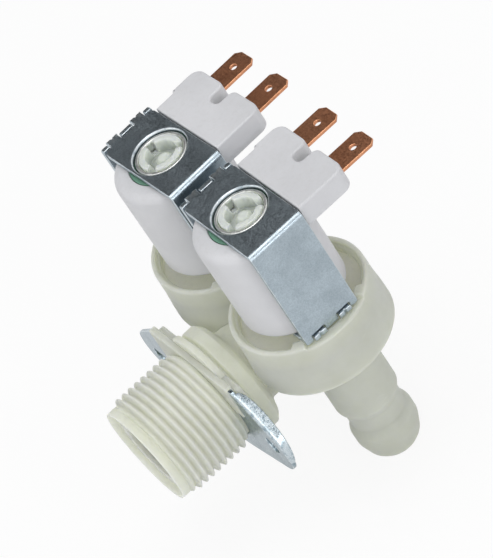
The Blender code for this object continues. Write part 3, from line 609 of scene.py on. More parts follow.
yoke_steel = metal("zinc_plated_yoke", tone(192, 204, 212), tone(154, 167, 176), tone(216, 222, 225),
                   gloss=(0.3, 0.42), speckle=2600.0, depth=0.05)
bracket_steel = metal("zinc_plated_bracket", tone(160, 176, 185), tone(138, 155, 165), tone(226, 234, 238),
                      gloss=(0.2, 0.3), speckle=3600.0, depth=0.06)
sleeve_steel = metal("rolled_sleeve_steel", tone(226, 229, 225), tone(208, 212, 208), tone(244, 245, 243),
                     gloss=(0.34, 0.46), clouds=0.1)
copper = metal("copper_terminal", tone(228, 168, 132), tone(184, 120, 86), tone(244, 184, 140),
               gloss=(0.34, 0.48), speckle=2200.0, clouds=0.42)
steel = metal("turned_plunger_steel", tone(190, 192, 194), tone(168, 170, 172), tone(225, 226, 228),
              clouds=0.1)
wire = metal("enamelled_winding_wire", tone(178, 104, 64), tone(146, 78, 44), tone(205, 130, 90),
             clouds=0.2)
metals = (yoke_steel, bracket_steel, sleeve_steel, copper, steel, wire)
print("metal finishes:", [look.name for look in metals])

# %% Rubber finish
def rubber(name, light, dark):
    """Dull rubber with a bloom of dust."""
    made, tree, shader, spot = fresh(name, specular=0.35)
    skin_of = place_in(tree, "skin", Place=spot["Object"], Grain=4200.0, Cloud=120.0)
    dust_of = place_in(tree, "dust", Place=spot["Object"], Facing=spot["Normal"], Scale=1200.0)
    base = mixed(tree, skin_of["Tone"], light, dark)
    dusty = times(tree, dust_of["Mask"], 0.2)
    tree.links.new(mixed(tree, dusty, base, tone(110, 106, 98)), shader["Base Color"])
    tree.links.new(spread(tree, skin_of["Gloss"], 0.0, 1.0, 0.62, 0.82), shader["Roughness"])
    tree.links.new(bump(tree, skin_of["Height"], 0.03 * mm, 0.5), shader["Normal"])
    return made


black_rubber = rubber("black_rubber", tone(44, 44, 45), tone(30, 30, 31))
red_rubber = rubber("plunger_seal_rubber", tone(96, 52, 44), tone(78, 40, 34))
print("rubber finishes:", [look.name for look in (black_rubber, red_rubber)])

# %% [markdown]
# ## The threaded inlet
#
# A hose nut screws onto this thread, whose crests stand 26.2 mm across with 14 turns to the inch.
# A thread could be a helix swept round a bar and joined to it, with a seam at each end. Turning the
# inlet as one profile and letting the radius rise and fall with height minus a share of the angle
# gives a true helix with no seam, and it can fade in and out at its ends as a moulded one does.
# The ridge only takes hold of the profile's thread rows, which lie at the root's radius.

# %% Inlet profile with its bore, collar, rib and duct
thread_pitch = 1.814 * mm
thread_root, thread_crest = 11.94 * mm, 13.1 * mm
thread_from, thread_to = -17.7 * mm, -0.7 * mm


def ridge(radius, height, turn):
    """Radius plus a triangular wave of height over the pitch minus angle over a full turn. The wave
    is eased at crest and root, and fades out over one pitch at both ends of the thread."""
    share = np.mod(height / thread_pitch - turn / math.tau, 1.0)
    wave = np.clip((1 - np.abs(2 * share - 1) - 0.1) / 0.8, 0, 1)
    wave = 0.55 * wave + 0.45 * wave * wave * (3 - 2 * wave)
    ends = np.minimum(height - thread_from, thread_to - height) / (0.8 * thread_pitch)
    fade = np.clip(ends, 0, 1)
    at_root = (radius > thread_root - 0.44 * mm) & (radius < thread_root + 0.06 * mm)
    on_thread = at_root & (fade > 0)
    return np.where(on_thread, radius + (thread_crest - thread_root) * wave * fade, radius), height


inner = rounded([(0, 27.1, 0), (6.6, 27.1, 0.5), (6.6, 4.6, 0.2), (8.2, 4.6, 0.2), (8.2, -2.0, 0.2),
                 (9.8, -2.0, 0.2), (9.8, -17.4, 0.6), (11.5, -19.75, 0.2), (12.05, -19.8, 0.12),
                 (12.1, -17.9, 0.15), (11.94, -17.6, 0.06), (11.94, -17.45, 0)],
                closed=False, steps=4)
rows_a_turn = 14
thread_rows = np.arange(-17.45, -2.0, 1.814 / rows_a_turn)[1:] * mm
thread_line = np.column_stack([np.full(len(thread_rows), thread_root), thread_rows])
outer = rounded([(11.94, -1.95, 0), (11.94, -0.8, 0.2), (11.2, -0.3, 0.2), (11.2, 1.3, 0.1),
                 (14.5, 1.3, 0.3), (14.5, 2.9, 0.3), (12.5, 2.9, 0.4), (12.5, 3.7, 0.4), (13.8, 3.7, 0.5),
                 (13.8, 6.6, 0.5), (12.5, 7.8, 0.8), (9.3, 9.0, 1.2), (9.3, 28.45, 0.6), (0, 28.45, 0)],
                closed=False, steps=4)
inlet_profile = np.vstack([spaced(inner, 0.7 * mm, closed=False)[:-1], thread_line,
                           spaced(outer, 0.35 * mm, closed=False)])
inlet = turned(inlet_profile, 176, "Y", shape=ridge)
piece("threaded_inlet", [inlet], inlet_nylon, "valve_body", sharp=60)

# %% [markdown]
# ## Shoulders in front of the bracket and flange behind it
#
# The steel bracket sits between two layers of nylon: square shoulders over the neck, in front, and
# a tapering flange behind. Each layer has one thickness, so an outline with an arc carried round
# its edge is enough. The shoulders' lower side is an arc inside the neck, so no gap shows there.

# %% Shoulders in front and flange behind
shoulder_x, shoulder_far, shoulder_top, shoulder_low, inner_round = 14.8, 16.8, 11.6, 2.3, 10.5


def upright(outline, front, back, edge, **more):
    """A plate drawn in x and z and moved upright, between two y values in mm."""
    made = plate(spaced(outline, 1.2 * mm), front * mm, back * mm, edge * mm, **more)
    y_for_z = Matrix(((1, 0, 0, 0), (0, 0, 1, 0), (0, 1, 0, 0), (0, 0, 0, 1)))
    bmesh.ops.transform(made, verts=made.verts, matrix=y_for_z)
    bmesh.ops.reverse_faces(made, faces=made.faces)
    return made


low_turn = math.asin(shoulder_low / inner_round)
under_turns = np.linspace(math.pi - low_turn, low_turn, 40)
under = arc(inner_round, under_turns) * mm
over = rounded([(10, shoulder_low, 0), (shoulder_x, shoulder_low, 0.3), (shoulder_x, shoulder_top, 0.7),
                (-shoulder_far, shoulder_top, 1.2), (-shoulder_far, shoulder_low, 0.3),
                (-10, shoulder_low, 0)], closed=False)[1:-1]
shoulders = upright(np.vstack([over, under]), -0.2, 1.4, 0.3)
right = [(15.4, 10.6, 1.0), (17.6, 7.2, 2.0), (16.2, -6.0, 3.0)]
left = [(-u, v, radius) for u, v, radius in reversed(right)]
flange = upright(rounded(right + left), 1.35, 2.9, 0.35)
piece("flange_and_shoulders", [shoulders, flange], nylon, "valve_body")

# %% [markdown]
# ## Diaphragm chambers
#
# Each chamber is a deep cup: the coil's foot stands in it, and the rim is lower on two sides where
# the folded yokes pass. The notches could be cut out with another solid. Because the rim's height
# is a function of the angle, the profile is turned first and its upper rows are squeezed down
# inside the notch, so the edge stays clean and rounded everywhere.

# %% Chamber profile and its notched rim
notch_half, pad_half = 8.2, 10.6
rim_high, rim_low, squeezed_from = 19.0 * mm, 18.1 * mm, 17.0 * mm
rim_radius, pad_radius, pad_low, inner_side = 16.0, 13.6 * mm, 16.7 * mm, 15.6 * mm


def between(turn, half):
    """1 where the rim is nearer to the coil's X axis than half, 0 beyond, eased over 0.3 mm."""
    return np.clip((half - np.abs(rim_radius * np.sin(turn))) / 0.3 + 0.5, 0, 1)


def rim_shape(radius, height, turn):
    """The heights of the rim scaled down in the notch, where the yoke's foot passes, and the inner
    wall drawn in there to a pad, which reaches a little past the notch on both sides."""
    top = rim_high - (rim_high - rim_low) * between(turn, notch_half)
    share = (height - squeezed_from) / (rim_high - squeezed_from)
    squeezed = np.where(height > squeezed_from, squeezed_from + share * (top - squeezed_from), height)
    drawn = radius - (radius - pad_radius) * between(turn, pad_half)
    return np.where((radius < inner_side) & (height > pad_low), drawn, radius), squeezed


chamber = rounded([(0, 4.9, 0), (16.6, 4.9, 1.1), (16.5, 9.0, 4.0), (16.2, 13.0, 3.0), (16.1, 19.0, 0.6),
                   (15.0, 19.0, 0.5), (14.9, 18.3, 0.3), (14.2, 18.0, 0.5), (14.2, 16.8, 0),
                   (14.2, 16.45, 0), (14.85, 16.4, 0), (14.85, 12.0, 0.2), (12.2, 12.0, 0.2),
                   (12.2, 8.0, 0.4), (6.2, 8.0, 0.4), (6.2, 11.6, 0.3), (0, 11.6, 0)],
                  closed=False, steps=4)
chamber = spaced(chamber, 0.6 * mm, closed=False)
edges = np.arcsin(np.array([8.0, 8.12, 8.28, 8.4, 10.4, 10.52, 10.68, 10.8]) / rim_radius)
extra = np.concatenate([edges, -edges, math.pi - edges, math.pi + edges])
for label, (across, _) in valves.items():
    cup = turned(chamber, 144, centre=(across, axis_y + 0.3 * mm, 0), shape=rim_shape, extra=extra)
    piece(f"{label}_chamber", [cup], nylon, "valve_body", sharp=60)

# %% [markdown]
# ## Hose outlets
#
# A rubber hose is pushed over the bulb and clamped at the neck above it. The bulb is one smooth
# swelling, so the profile has wide arcs, and the bore runs up inside it.

# %% Outlet profile
outlet = rounded([(0, 4.0, 0), (3.9, 4.0, 0.3), (3.9, -31.8, 0.4), (5.1, -31.8, 0.9), (6.35, -30.2, 2.5),
                  (7.45, -26.6, 3.0), (7.45, -23.4, 2.0), (6.5, -21.3, 1.4), (6.5, -17.1, 1.0),
                  (7.5, -15.2, 1.2), (7.5, 5.9, 0.3), (0, 5.9, 0)], closed=False, steps=8)
outlet = spaced(outlet, 0.8 * mm, closed=False)
for label, (across, _) in valves.items():
    hose_end = turned(outlet, 96, centre=(across, axis_y + 1.0 * mm, 0))
    piece(f"{label}_outlet", [hose_end], nylon, "valve_body", sharp=60)

# %% [markdown]
# ## Mounting bracket
#
# The bracket is stamped from 1 mm sheet as a horseshoe that slides over the inlet's neck, with an
# ear on each side for a screw: one with a round hole, one with a slot. Two narrow arms rise beside
# the shoulders. One ear has a lip turned back along its upper edge. The lip could be bent from the
# same mesh, but its depth swells and fades along a curved edge, so it is a section carried along
# that edge, and the plate stops just inside it.

# %% Bracket outline
ear_radius, ring, eye, arm_top, far_arm_top = 7.2, 15.7, 11.5, 11.5, 10.0
hole_x, hole_z, hole_radius, slot_half = 21.6, -2.6, 2.2, 4.0


def bracket_side(ear_x, ear_z, slope_top):
    """Outer line of one ear and half the lower bar, as (x, z) in mm. Both straight edges touch the
    ear's circle, so each one's normal leans by the angle whose sine is a radius (or the difference
    of two) over the distance between the centres or from the corner."""
    apart = math.hypot(ear_x, ear_z)
    lean = math.asin((ring - ear_radius) / apart) + math.atan2(ear_z, ear_x)
    low = math.atan2(-math.cos(lean), math.sin(lean))
    run_x, run_z = ear_x - slope_top[0], ear_z - slope_top[1]
    high = math.atan2(run_z, run_x) + math.asin(ear_radius / math.hypot(run_x, run_z)) + math.pi / 2
    ear_turns, ring_turns = np.linspace(high, low, 20), np.linspace(low, -math.pi / 2, 8)[:-1]
    ear, bar = arc(ear_radius, ear_turns, (ear_x, ear_z)), arc(ring, ring_turns)
    top = rounded([(0, slope_top[1], 0), (*slope_top, 0.8), (*ear[0], 0)], closed=False)[1:-1]
    return spaced(np.vstack([top, ear * mm, bar * mm]), 1.2 * mm, closed=False) / mm


side_line = bracket_side(20.4, -3.1, (16.4, arm_top))
far_line = (bracket_side(22.3, -1.9, (17.9, far_arm_top)) * [-1, 1])[::-1]
mouth_low = shoulder_low - 0.3
mouth_end = math.asin(-mouth_low / eye)
mouth = arc(eye, np.linspace(math.pi + mouth_end, math.tau - mouth_end, 40))
arm, arm_far = shoulder_x + 0.3, shoulder_far + 0.3
bracket_line = np.vstack([side_line, far_line, [[-arm_far, far_arm_top], [-arm_far, mouth_low]], mouth,
                          [[arm, mouth_low], [arm, arm_top]]])
walk = np.concatenate([[0], np.cumsum(np.linalg.norm(np.diff(side_line, axis=0), axis=1))])
lip_from, lip_to = 0.9, 21.5
print("lip runs", round(lip_to - lip_from, 1), "mm along the upper edge of the near ear")

# %% Lip section carried along the edge
stations = np.linspace(lip_from, lip_to, 80)
edge_line = np.column_stack([np.interp(stations, walk, side_line[:, axis]) for axis in (0, 1)])
heading = unit(np.gradient(edge_line, axis=0))
normal_in = np.column_stack([heading[:, 1], -heading[:, 0]])
swell = np.sin(math.pi * ((stations - lip_from) / (lip_to - lip_from)) ** 0.6).clip(0)
depth = 1.0 + 1.8 * swell ** 0.8
curl = 0.25 + 0.7 * swell ** 0.6


def lip_ring(depth_here, curl_here):
    """Closed section of the lip as (inward, back) in mm: a wide arc in front, small ones behind."""
    corners = [(1.0, 0.0, 0.1), (0.0, 0.0, curl_here), (0.0, depth_here, 0.28), (1.0, depth_here, 0.28)]
    return rounded(corners, steps=7) / mm


rings = np.stack([lip_ring(d, c) for d, c in zip(depth, curl)])
offset = rings[..., :1] * normal_in[:, None, :]
lip_grid = np.stack([edge_line[:, None, 0] + offset[..., 0], rings[..., 1],
                     edge_line[:, None, 1] + offset[..., 1]], axis=-1) * mm
centre_first, centre_last = lip_grid[0].mean(axis=0), lip_grid[-1].mean(axis=0)
caps = [np.broadcast_to(spot, lip_grid[0].shape)[None] for spot in (centre_first, centre_last)]
lip_grid = np.concatenate([caps[0], lip_grid, caps[1]])
lip = sealed(shell(lip_grid, False, np.full(len(lip_grid), 0.6)))
print("lip is up to", round(depth.max(), 1), "mm deep and has", len(lip.faces), "faces")

# %% Bracket plate with its hole and slot
pulled = np.array(bracket_line)
toward = unit(np.gradient(side_line, axis=0))
ease = np.clip(np.minimum(walk - lip_from, lip_to - walk) / 0.8, 0, 1)[:, None]
pulled[:len(side_line)] += np.column_stack([toward[:, 1], -toward[:, 0]]) * ease * 0.9
hole = arc(hole_radius, circle(48), (hole_x, hole_z)) * mm
slot_corners = ((-slot_half, -1), (slot_half, -1), (slot_half, 1), (-slot_half, 1))
slot_line = rounded([(-hole_x + along, hole_z + side * hole_radius, hole_radius - 0.01)
                     for along, side in slot_corners], steps=10)
sheet_metal = upright(pulled * mm, 0, 1.0, 0.22, holes=[hole, slot_line])
piece("steel_bracket", [sheet_metal, lip], bracket_steel, "mounting_bracket")

# %% [markdown]
# ## Yoke plates
#
# Two identical L-shaped plates carry the magnetic path round each coil. A press cuts them flat and
# then folds them, and the same order works here: the blank is drawn flat with its hole, tabs and
# notches, cut into strips where it bends, and all its points are folded at once by one formula.
# The lower plate is the upper one turned over.

# %% Flat blank of a yoke plate
half_width, sheet_thick, bend = 7.15, 1.2, 1.3
bend_at = 13.7 - bend
bend_run = bend * math.pi / 2
foot_at = bend_at + bend_run + (47.0 - bend - 18.5)
tab, notch_wide, notch_deep = 1.5, 1.8, 1.5
blank = []
for middle in (3.5, -3.5):
    blank += [(-12.2, middle + tab, 0.15), (-14.0, middle + tab, 0.2), (-14.35, middle + tab + 0.22, 0.12),
              (-14.35, middle + 0.35, 0.1), (-13.95, middle, 0.1), (-14.35, middle - 0.35, 0.1),
              (-14.35, middle - tab - 0.22, 0.12), (-14.0, middle - tab, 0.2), (-12.2, middle - tab, 0.15)]
blank += [(-12.2, -half_width, 1.3), (foot_at, -half_width, 0.5)]
for middle in (-3.5, 3.5):
    blank += [(foot_at, middle - notch_wide, 0.3), (foot_at - notch_deep, middle - notch_wide, 0.3),
              (foot_at - notch_deep, middle + notch_wide, 0.3), (foot_at, middle + notch_wide, 0.3)]
blank += [(foot_at, half_width, 0.5), (-12.2, half_width, 1.3)]
blank_line = spaced(rounded(blank, steps=4), 2.5 * mm)
eye_line = arc(6.4, circle(72)) * mm
print("blank is", round(foot_at + 14.35, 1), "mm long before it is folded")


# %% Fold the blank
def folded(spots):
    """Distance along the blank becomes a straight top, a quarter turn and a straight side: in the
    turn, x and z follow the sine and cosine of the distance divided by the outer radius."""
    along, across, depth_in = spots[:, 0] / mm, spots[:, 1] / mm, spots[:, 2] / mm
    turn = np.clip((along - bend_at) / bend, 0, math.pi / 2)
    past = np.maximum(along - bend_at - bend_run, 0)
    x = np.minimum(along, bend_at) + (bend - depth_in) * np.sin(turn)
    z = 47.0 - bend + (bend - depth_in) * np.cos(turn) - past
    return np.column_stack([x, across, z]) * mm


def turned_over(spots):
    """Half a turn about the Y axis through the middle of the plate's height."""
    return spots * np.array([-1, 1, -1]) + np.array([0, 0, plate_top + plate_foot])


folds = bend_at + bend_run * np.linspace(0, 1, 11)
folds = np.concatenate([[bend_at - 0.25], folds, [bend_at + bend_run + 0.25]]) * mm


def fold_for(label, level):
    """The fold of the blank, a half turn for a lower plate, and the move to its valve."""
    there = stand(label)
    if level == "upper":
        return lambda spots: there(folded(spots))
    return lambda spots: there(turned_over(folded(spots)))


def hammered(most):
    """A mask over the tabs' ends, which are hammered wide and so rubbed bright, up to most."""
    return lambda spots: np.clip((-12.9 - spots[:, 0] / mm) / 0.4, 0, most)


for label in valves:
    for level, bright in (("upper", 0.9), ("lower", 0.15)):
        flat = plate(blank_line, 0, sheet_thick * mm, 0.16 * mm, [eye_line], 0.42 * mm, folds)
        bmesh.ops.reverse_faces(flat, faces=flat.faces)
        piece(f"{label}_{level}_plate", [flat], yoke_steel, f"{label}_{level}_yoke",
              place=fold_for(label, level), struck=hammered(bright))

# %% [markdown]
# ## Coil jackets and terminal blocks
#
# The winding is moulded over in white plastic with a rounded shoulder, and a block with two lobes
# holds the terminals. The block wraps round the jacket below and is straight above it, so its
# outline changes with height. Stacking outlines with the same number of points lets the back edge
# move from the arc to the line in one step.

# %% Jacket and block
jacket = rounded([(8.6, 20.0, 0.2), (11.9, 20.0, 0.3), (12.2, 20.6, 0.4), (12.2, 45.5, 2.2),
                  (8.1, 45.5, 0.3), (8.1, 44.5, 0.1), (11.2, 44.5, 0.2), (11.2, 21.0, 0.2),
                  (8.6, 21.0, 0.1)], steps=7)
jacket = spaced(jacket, 0.9 * mm)
right_side = [(12.0, 20.4, 2.6), (1.7, 20.4, 1.6), (1.7, 15.6, 1.3)]
lobes = rounded([(12.0, 7.6, 0)] + right_side + [(-u, v, r) for u, v, r in reversed(right_side)]
                + [(-12.0, 12.9, 0.3), (-11.3, 12.5, 0.3), (-11.3, 7.6, 0)], closed=False, steps=6)
back_from = math.asin(7.6 / 11.9)
back_arc = arc(11.9, np.linspace(math.pi - back_from, back_from, 40)) * mm
back_line = np.column_stack([back_arc[:, 0], np.full(40, 7.6 * mm)])
lobes = spaced(lobes, 1.0 * mm, closed=False)
wrapped, straight = np.vstack([lobes, back_arc]), np.vstack([lobes, back_line])


def block_shell():
    """Outlines from the underside to the top, with a quarter arc at both edges."""
    low, middle, top, edge = 41.3 * mm, 45.52 * mm, plate_top, 0.45 * mm
    turns = np.linspace(0, math.pi / 2, 5)
    steps = [(edge * (1 - math.sin(turn)), edge * (1 - math.cos(turn))) for turn in turns]
    layers = [(inset(wrapped, edge + 0.15 * mm), low)]
    layers += [(inset(wrapped, pull), low + rise) for pull, rise in steps]
    layers += [(wrapped, middle), (straight, middle)]
    layers += [(inset(straight, pull), top - rise) for pull, rise in reversed(steps)]
    layers += [(inset(straight, edge + 0.15 * mm), top)]
    return filled(stacked(layers, np.zeros(len(layers))))


for label in valves:
    coil = turned(jacket, 128)
    piece(f"{label}_jacket", [coil, block_shell()], white, f"{label}_coil_jacket", place=stand(label))

# %% [markdown]
# ## Terminals
#
# The blades are the standard 6.3 by 0.8 mm, stamped with a latch hole and thinned at the tip so
# that a connector slides on. The thinning is a function of the distance from the tip.

# %% Blade outline and tip
tip_at, half_blade, blade_low, blade_high = 29.7, 3.15, 43.75 * mm, 44.55 * mm


def thinned(label):
    """Thickness shrinks by 45 percent over the last 1.3 mm, about the blade's middle height."""
    there, middle = stand(label), 44.15 * mm

    def squeeze(spots):
        share = np.clip((spots[:, 1] - (tip_at - 1.3) * mm) / (1.3 * mm), 0, 1)
        made = np.array(spots)
        made[:, 2] = middle + (spots[:, 2] - middle) * (1 - 0.45 * share)
        return there(made)
    return squeeze


for label in valves:
    for name, middle in (("left", -6.6), ("right", 6.6)):
        blade = [(middle - half_blade, 15.5, 0.2), (middle + half_blade, 15.5, 0.2),
                 (middle + half_blade, tip_at - 1.2, 0.25), (middle + 1.95, tip_at, 0.25),
                 (middle - 1.95, tip_at, 0.25), (middle - half_blade, tip_at - 1.2, 0.25)]
        latch = arc(0.8, circle(48), (middle, tip_at - 4.0)) * mm
        blade_line = spaced(rounded(blade, steps=4), 1.2 * mm)
        flat = plate(blade_line, blade_low, blade_high, 0.12 * mm, holes=[latch])
        piece(f"{label}_blade_{name}", [flat], copper, f"{label}_terminal_{name}", place=thinned(label))

# %% [markdown]
# ## Guide tube, sleeve and bobbin
#
# In the hole of the top plate the nylon guide tube ends in a slotted ring with a dome inside it,
# ringed by the bright edge of a rolled steel sleeve. The green bobbin shows just under the plate.
# The tube's wide foot closes the chamber and is a piece of its own, so that it can carry painted
# light: paler tones, paler painted hollows and a painted glow stand in for light through the cup
# wall. All of them are turned, and the ring's slots are a function of the angle again.

# %% Turn them
slot_floor, slot_half_width, never = 44.1 * mm, 0.85 * mm, 99.0


def slots(radius, height, turn):
    """The ring above the slots' floor is lowered to it in three slots. A point is in a slot if its
    radius times the sine of its angle from the slot's middle is less than half the slot's width."""
    reach = np.full_like(turn, never)
    for middle in (math.pi / 3, math.pi, 5 * math.pi / 3):
        off = np.arctan2(np.sin(turn - middle), np.cos(turn - middle))
        reach = np.minimum(reach, np.where(np.abs(off) < 1.2, np.abs(radius * np.sin(off)), never))
    cut = np.clip((slot_half_width - reach) / (0.12 * mm) + 0.5, 0, 1)
    ring = (height > slot_floor) & (radius > 2.2 * mm)
    return radius, np.where(ring, height - (height - slot_floor) * cut, height)


tube = rounded([(0, 42.3, 0), (4.25, 42.3, 0.3), (4.25, 17.2, 0.2), (5.7, 17.0, 0.3), (5.7, 14.0, 0.2),
                (6.2, 14.0, 0.1), (6.2, 18.2, 0.1), (4.95, 18.2, 0.2), (4.95, 45.2, 0.2), (5.1, 45.6, 0.2),
                (5.1, 46.9, 0.45), (3.55, 46.9, 0.3), (3.55, 43.7, 0.3), (1.95, 43.7, 0.3),
                (1.85, 44.6, 0.5), (1.1, 45.35, 0.6), (0, 45.45, 0)], closed=False, steps=5)
tube = spaced(tube, 0.4 * mm, closed=False)
tube_foot = rounded([(6.3, 14.0, 0.2), (14.75, 14.0, 0.2), (14.75, 16.2, 0.4), (7.6, 16.2, 0.6),
                     (7.6, 18.2, 0.4), (6.3, 18.2, 0.2)], steps=5)
top_sleeve = rounded([(5.2, 38.0, 0.1), (6.1, 38.0, 0.1), (6.1, 46.5, 0.3), (5.35, 46.5, 0.2),
                      (5.2, 46.0, 0.15)], steps=4)
foot_sleeve = rounded([(5.2, 19.1, 0.15), (5.45, 18.5, 0.2), (6.1, 18.5, 0.22), (6.1, 27.5, 0.1),
                       (5.2, 27.5, 0.1)], steps=4)
bobbin = rounded([(6.4, 20.0, 0.1), (8.3, 20.0, 0.25), (8.3, 21.3, 0.1), (10.9, 21.3, 0.2), (10.9, 22.3, 0.2),
                  (7.2, 22.3, 0.2), (7.2, 43.2, 0.2), (10.9, 43.2, 0.2), (10.9, 44.2, 0.2), (8.0, 44.2, 0.1),
                  (8.0, 45.5, 0.2), (6.4, 45.5, 0.2)], steps=4)
round_steel = (("top_sleeve", top_sleeve, "upper_sleeve"), ("foot_sleeve", foot_sleeve, "lower_sleeve"))
for label in valves:
    untwisted = stand(label, twisted=False)
    piece(f"{label}_tube", [turned(tube, 144, shape=slots)], tip_nylon, f"{label}_guide_tube",
          place=untwisted, sharp=55)
    # The foot's finish carries painted light: paler tones and a painted glow for light through the cup wall.
    piece(f"{label}_tube_foot", [turned(spaced(tube_foot, 0.7 * mm), 128)], inner_nylon_painted_light,
          f"{label}_guide_tube", place=untwisted)
    for name, profile, node in round_steel:
        piece(f"{label}_{name}", [turned(spaced(profile, 0.8 * mm), 96)], sleeve_steel,
              f"{label}_{node}", place=stand(label))
    piece(f"{label}_spool", [turned(spaced(bobbin, 0.9 * mm), 96)], green, f"{label}_bobbin",
          place=stand(label))

# %% [markdown]
# ## Pieces that keep their CAD shape
#
# The strainer, flow washer and everything inside the coils are already right, and only their
# finish is missing, so each CAD node gets a material in its own slot.

# %% Materials for the kept nodes
kept_looks = {"inlet_strainer": inlet_nylon, "flow_washer": black_rubber, "flow_washer_holder": pale}
for label in valves:
    kept_looks.update({
        f"{label}_diaphragm": black_rubber, f"{label}_diaphragm_insert": pale, f"{label}_plunger": steel,
        f"{label}_plunger_seal": red_rubber, f"{label}_return_spring": steel, f"{label}_winding": wire})
for name, look in kept_looks.items():
    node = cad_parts[name]
    for number in range(max(1, len(node.material_slots))):
        if number < len(node.material_slots):
            node.material_slots[number].material = look
        else:
            node.data.materials.append(look)
hidden = [name for name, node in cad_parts.items() if node.hide_render]
print(len(kept_looks), "nodes keep their shape,", len(hidden), "are replaced")

# %% [markdown]
# ## Floor, light and camera
#
# The photograph shows the valve on plain white under soft light. More light would burn out the
# pale plastic, so the world lights the valve with less than it shows: it is white only to the
# camera and in reflections. The floor is mostly plain white to the camera, with a little of its
# real shading left so that the shadow is kept. Dark cards that only reflections can see stand
# where a studio would have its dark room, and give the top plates and an ear their grey.

# %% Floor and world
def seen(tree):
    """1 for camera, glossy and transmission rays, 0 for diffuse and shadow rays."""
    path = put(tree, "ShaderNodeLightPath").outputs
    first = count(tree, "MAXIMUM", path["Is Camera Ray"], path["Is Glossy Ray"])
    return count(tree, "MAXIMUM", first, path["Is Transmission Ray"])


def bare(name):
    """A material with an empty node tree."""
    made = bpy.data.materials.new(name)
    made.use_nodes = True
    made.node_tree.nodes.clear()
    return made, made.node_tree


def square_sheet(name, half, height, look):
    """A square of twice half on each side, at a height."""
    mesh = bpy.data.meshes.new(name)
    corners = [(-half, -half, height), (half, -half, height), (half, half, height), (-half, half, height)]
    mesh.from_pydata(corners, [], [(0, 1, 2, 3)])
    mesh.materials.append(look)
    made = bpy.data.objects.new(name, mesh)
    bpy.context.scene.collection.objects.link(made)
    return made


floor_look, tree = bare("pale_floor")
matt = put(tree, "ShaderNodeBsdfDiffuse", {"Color": (0.9, 0.9, 0.9, 1.0)}).outputs[0]
plain = put(tree, "ShaderNodeEmission", {"Color": (1.0, 1.0, 1.0, 1.0), "Strength": 1.0}).outputs[0]
white_to_camera, white_in_reflections = 0.88, 0.45
path = put(tree, "ShaderNodeLightPath").outputs
mirrored = times(tree, path["Is Glossy Ray"], white_in_reflections)
shown = times(tree, path["Is Camera Ray"], white_to_camera)
share = count(tree, "MAXIMUM", shown, mirrored)
mix = put(tree, "ShaderNodeMixShader", {0: share, 1: matt, 2: plain}).outputs[0]
put(tree, "ShaderNodeOutputMaterial", {"Surface": mix})
floor = square_sheet("floor", 3.0, cad_low.z - 0.0002, floor_look)
floor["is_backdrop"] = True

world = bpy.data.worlds.new("soft_room")
bpy.context.scene.world = world
world.use_nodes = True
tree = world.node_tree
tree.nodes.clear()
fill = put(tree, "ShaderNodeBackground", {"Color": (0.97, 0.985, 1.0, 1.0), "Strength": 0.6}).outputs[0]
backdrop = put(tree, "ShaderNodeBackground", {"Color": (1.0, 1.0, 1.0, 1.0), "Strength": 1.0}).outputs[0]
mix = put(tree, "ShaderNodeMixShader", {0: seen(tree), 1: fill, 2: backdrop}).outputs[0]
put(tree, "ShaderNodeOutputWorld", {"Surface": mix})
print("floor lies at", round((cad_low.z - 0.0002) / mm, 1), "mm and the world is", world.name)

# %% Lamps
middle_spot = (cad_low + cad_high) / 2


def facing_middle(direction, distance):
    """The placing of something that looks at the valve's middle from a direction."""
    away = Vector(direction).normalized()
    turn = away.to_track_quat("Z", "Y").to_matrix().to_4x4()
    return Matrix.Translation(middle_spot + away * distance) @ turn


def lamp(name, direction, distance, size, power, colour):
    """A square lamp that faces the valve's middle. A larger one gives softer shadows."""
    light = bpy.data.lights.new(name, "AREA")
    light.size, light.energy, light.color = size, power, colour
    made = bpy.data.objects.new(name, light)
    made.matrix_world = facing_middle(direction, distance)
    bpy.context.scene.collection.objects.link(made)
    print(f"{name}: {power} W at {distance} m")


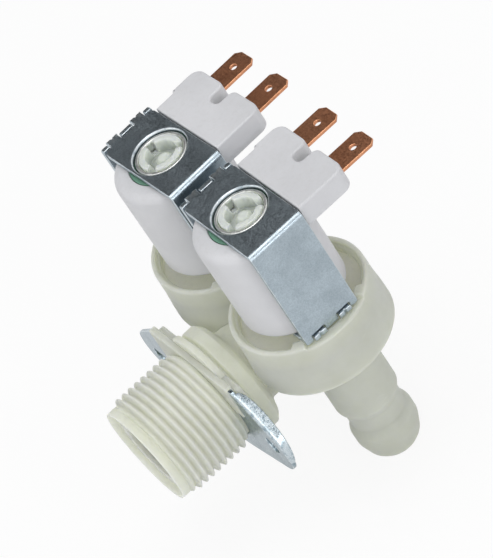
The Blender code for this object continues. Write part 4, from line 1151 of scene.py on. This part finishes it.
lamp("overhead_lamp", (0.02, 0.1, 1.0), 0.95, 0.45, 2.2, (1.0, 0.99, 0.97))
lamp("side_lamp", (-0.3, -1.0, 0.55), 1.0, 0.6, 0.9, (1.0, 0.995, 0.985))
lamp("front_lamp", (0.8, -0.3, 0.5), 1.0, 0.6, 1.75, (1.0, 0.995, 0.985))
lamp("front_strip", (0.85, 0.17, 0.5), 1.0, 0.16, 0.9, (0.97, 0.985, 1.0))

# %% Dark cards that only reflections can see
card_look, tree = bare("dark_card")
place_on_card = put(tree, "ShaderNodeTexCoord").outputs["Object"]
shade = spread(tree, noise(tree, place_on_card, 4.0, 3.0), 0.35, 0.65, 0.03, 0.06)
dim = put(tree, "ShaderNodeEmission", {"Strength": shade}).outputs[0]
put(tree, "ShaderNodeOutputMaterial", {"Surface": dim})
for name, direction, half in (("card_for_top_plates", (-0.737, 0.167, 0.655), 0.36),
                              ("card_for_ear", (0.68, 0.17, 0.7), 0.09)):
    card = square_sheet(name, half, 0, card_look)
    card.matrix_world = facing_middle(direction, 0.6)
    card.visible_camera = card.visible_diffuse = card.visible_shadow = card.visible_transmission = False
    card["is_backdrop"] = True
    print(f"{name}: {2 * half:.2f} m wide")

# %% [markdown]
# The camera stands about 0.86 m away with a long lens. Its place comes from matching corners of
# the photograph with the same corners of the CAD model, and its three axes are written as columns.

# %% Camera
camera_data = bpy.data.cameras.new("camera")
camera_data.lens, camera_data.sensor_width, camera_data.clip_end = 258.17, 36.0, 10.0
camera = bpy.data.objects.new("camera", camera_data)
right_axis, up_axis, back_axis = (0.5401, 0.7274, -0.4232), (-0.4058, 0.6657, 0.6263), (
    0.7373, -0.1665, 0.6547)
turn = Matrix((right_axis, up_axis, back_axis)).transposed()
camera.matrix_world = Matrix.Translation((0.62671, -0.1211, 0.57432)) @ turn.to_4x4()
bpy.context.scene.collection.objects.link(camera)
bpy.context.scene.camera = camera
bpy.context.scene.view_settings.view_transform = "Standard"
away = (camera.matrix_world.translation - middle_spot).length
print("camera is", round(away, 2), "m from the valve's middle")

# %% [markdown]
# ## The size of the finished valve
#
# The finished pieces may be finer than the CAD model, and the corners of both boxes are printed.
# The finished pieces may be finer than the CAD model but never larger.

# %% Print both boxes
low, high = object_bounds()
for name, corner in (("CAD low", cad_low), ("CAD high", cad_high), ("low", low), ("high", high)):
    print(name, "corner in mm:", [round(value / mm, 3) for value in corner])
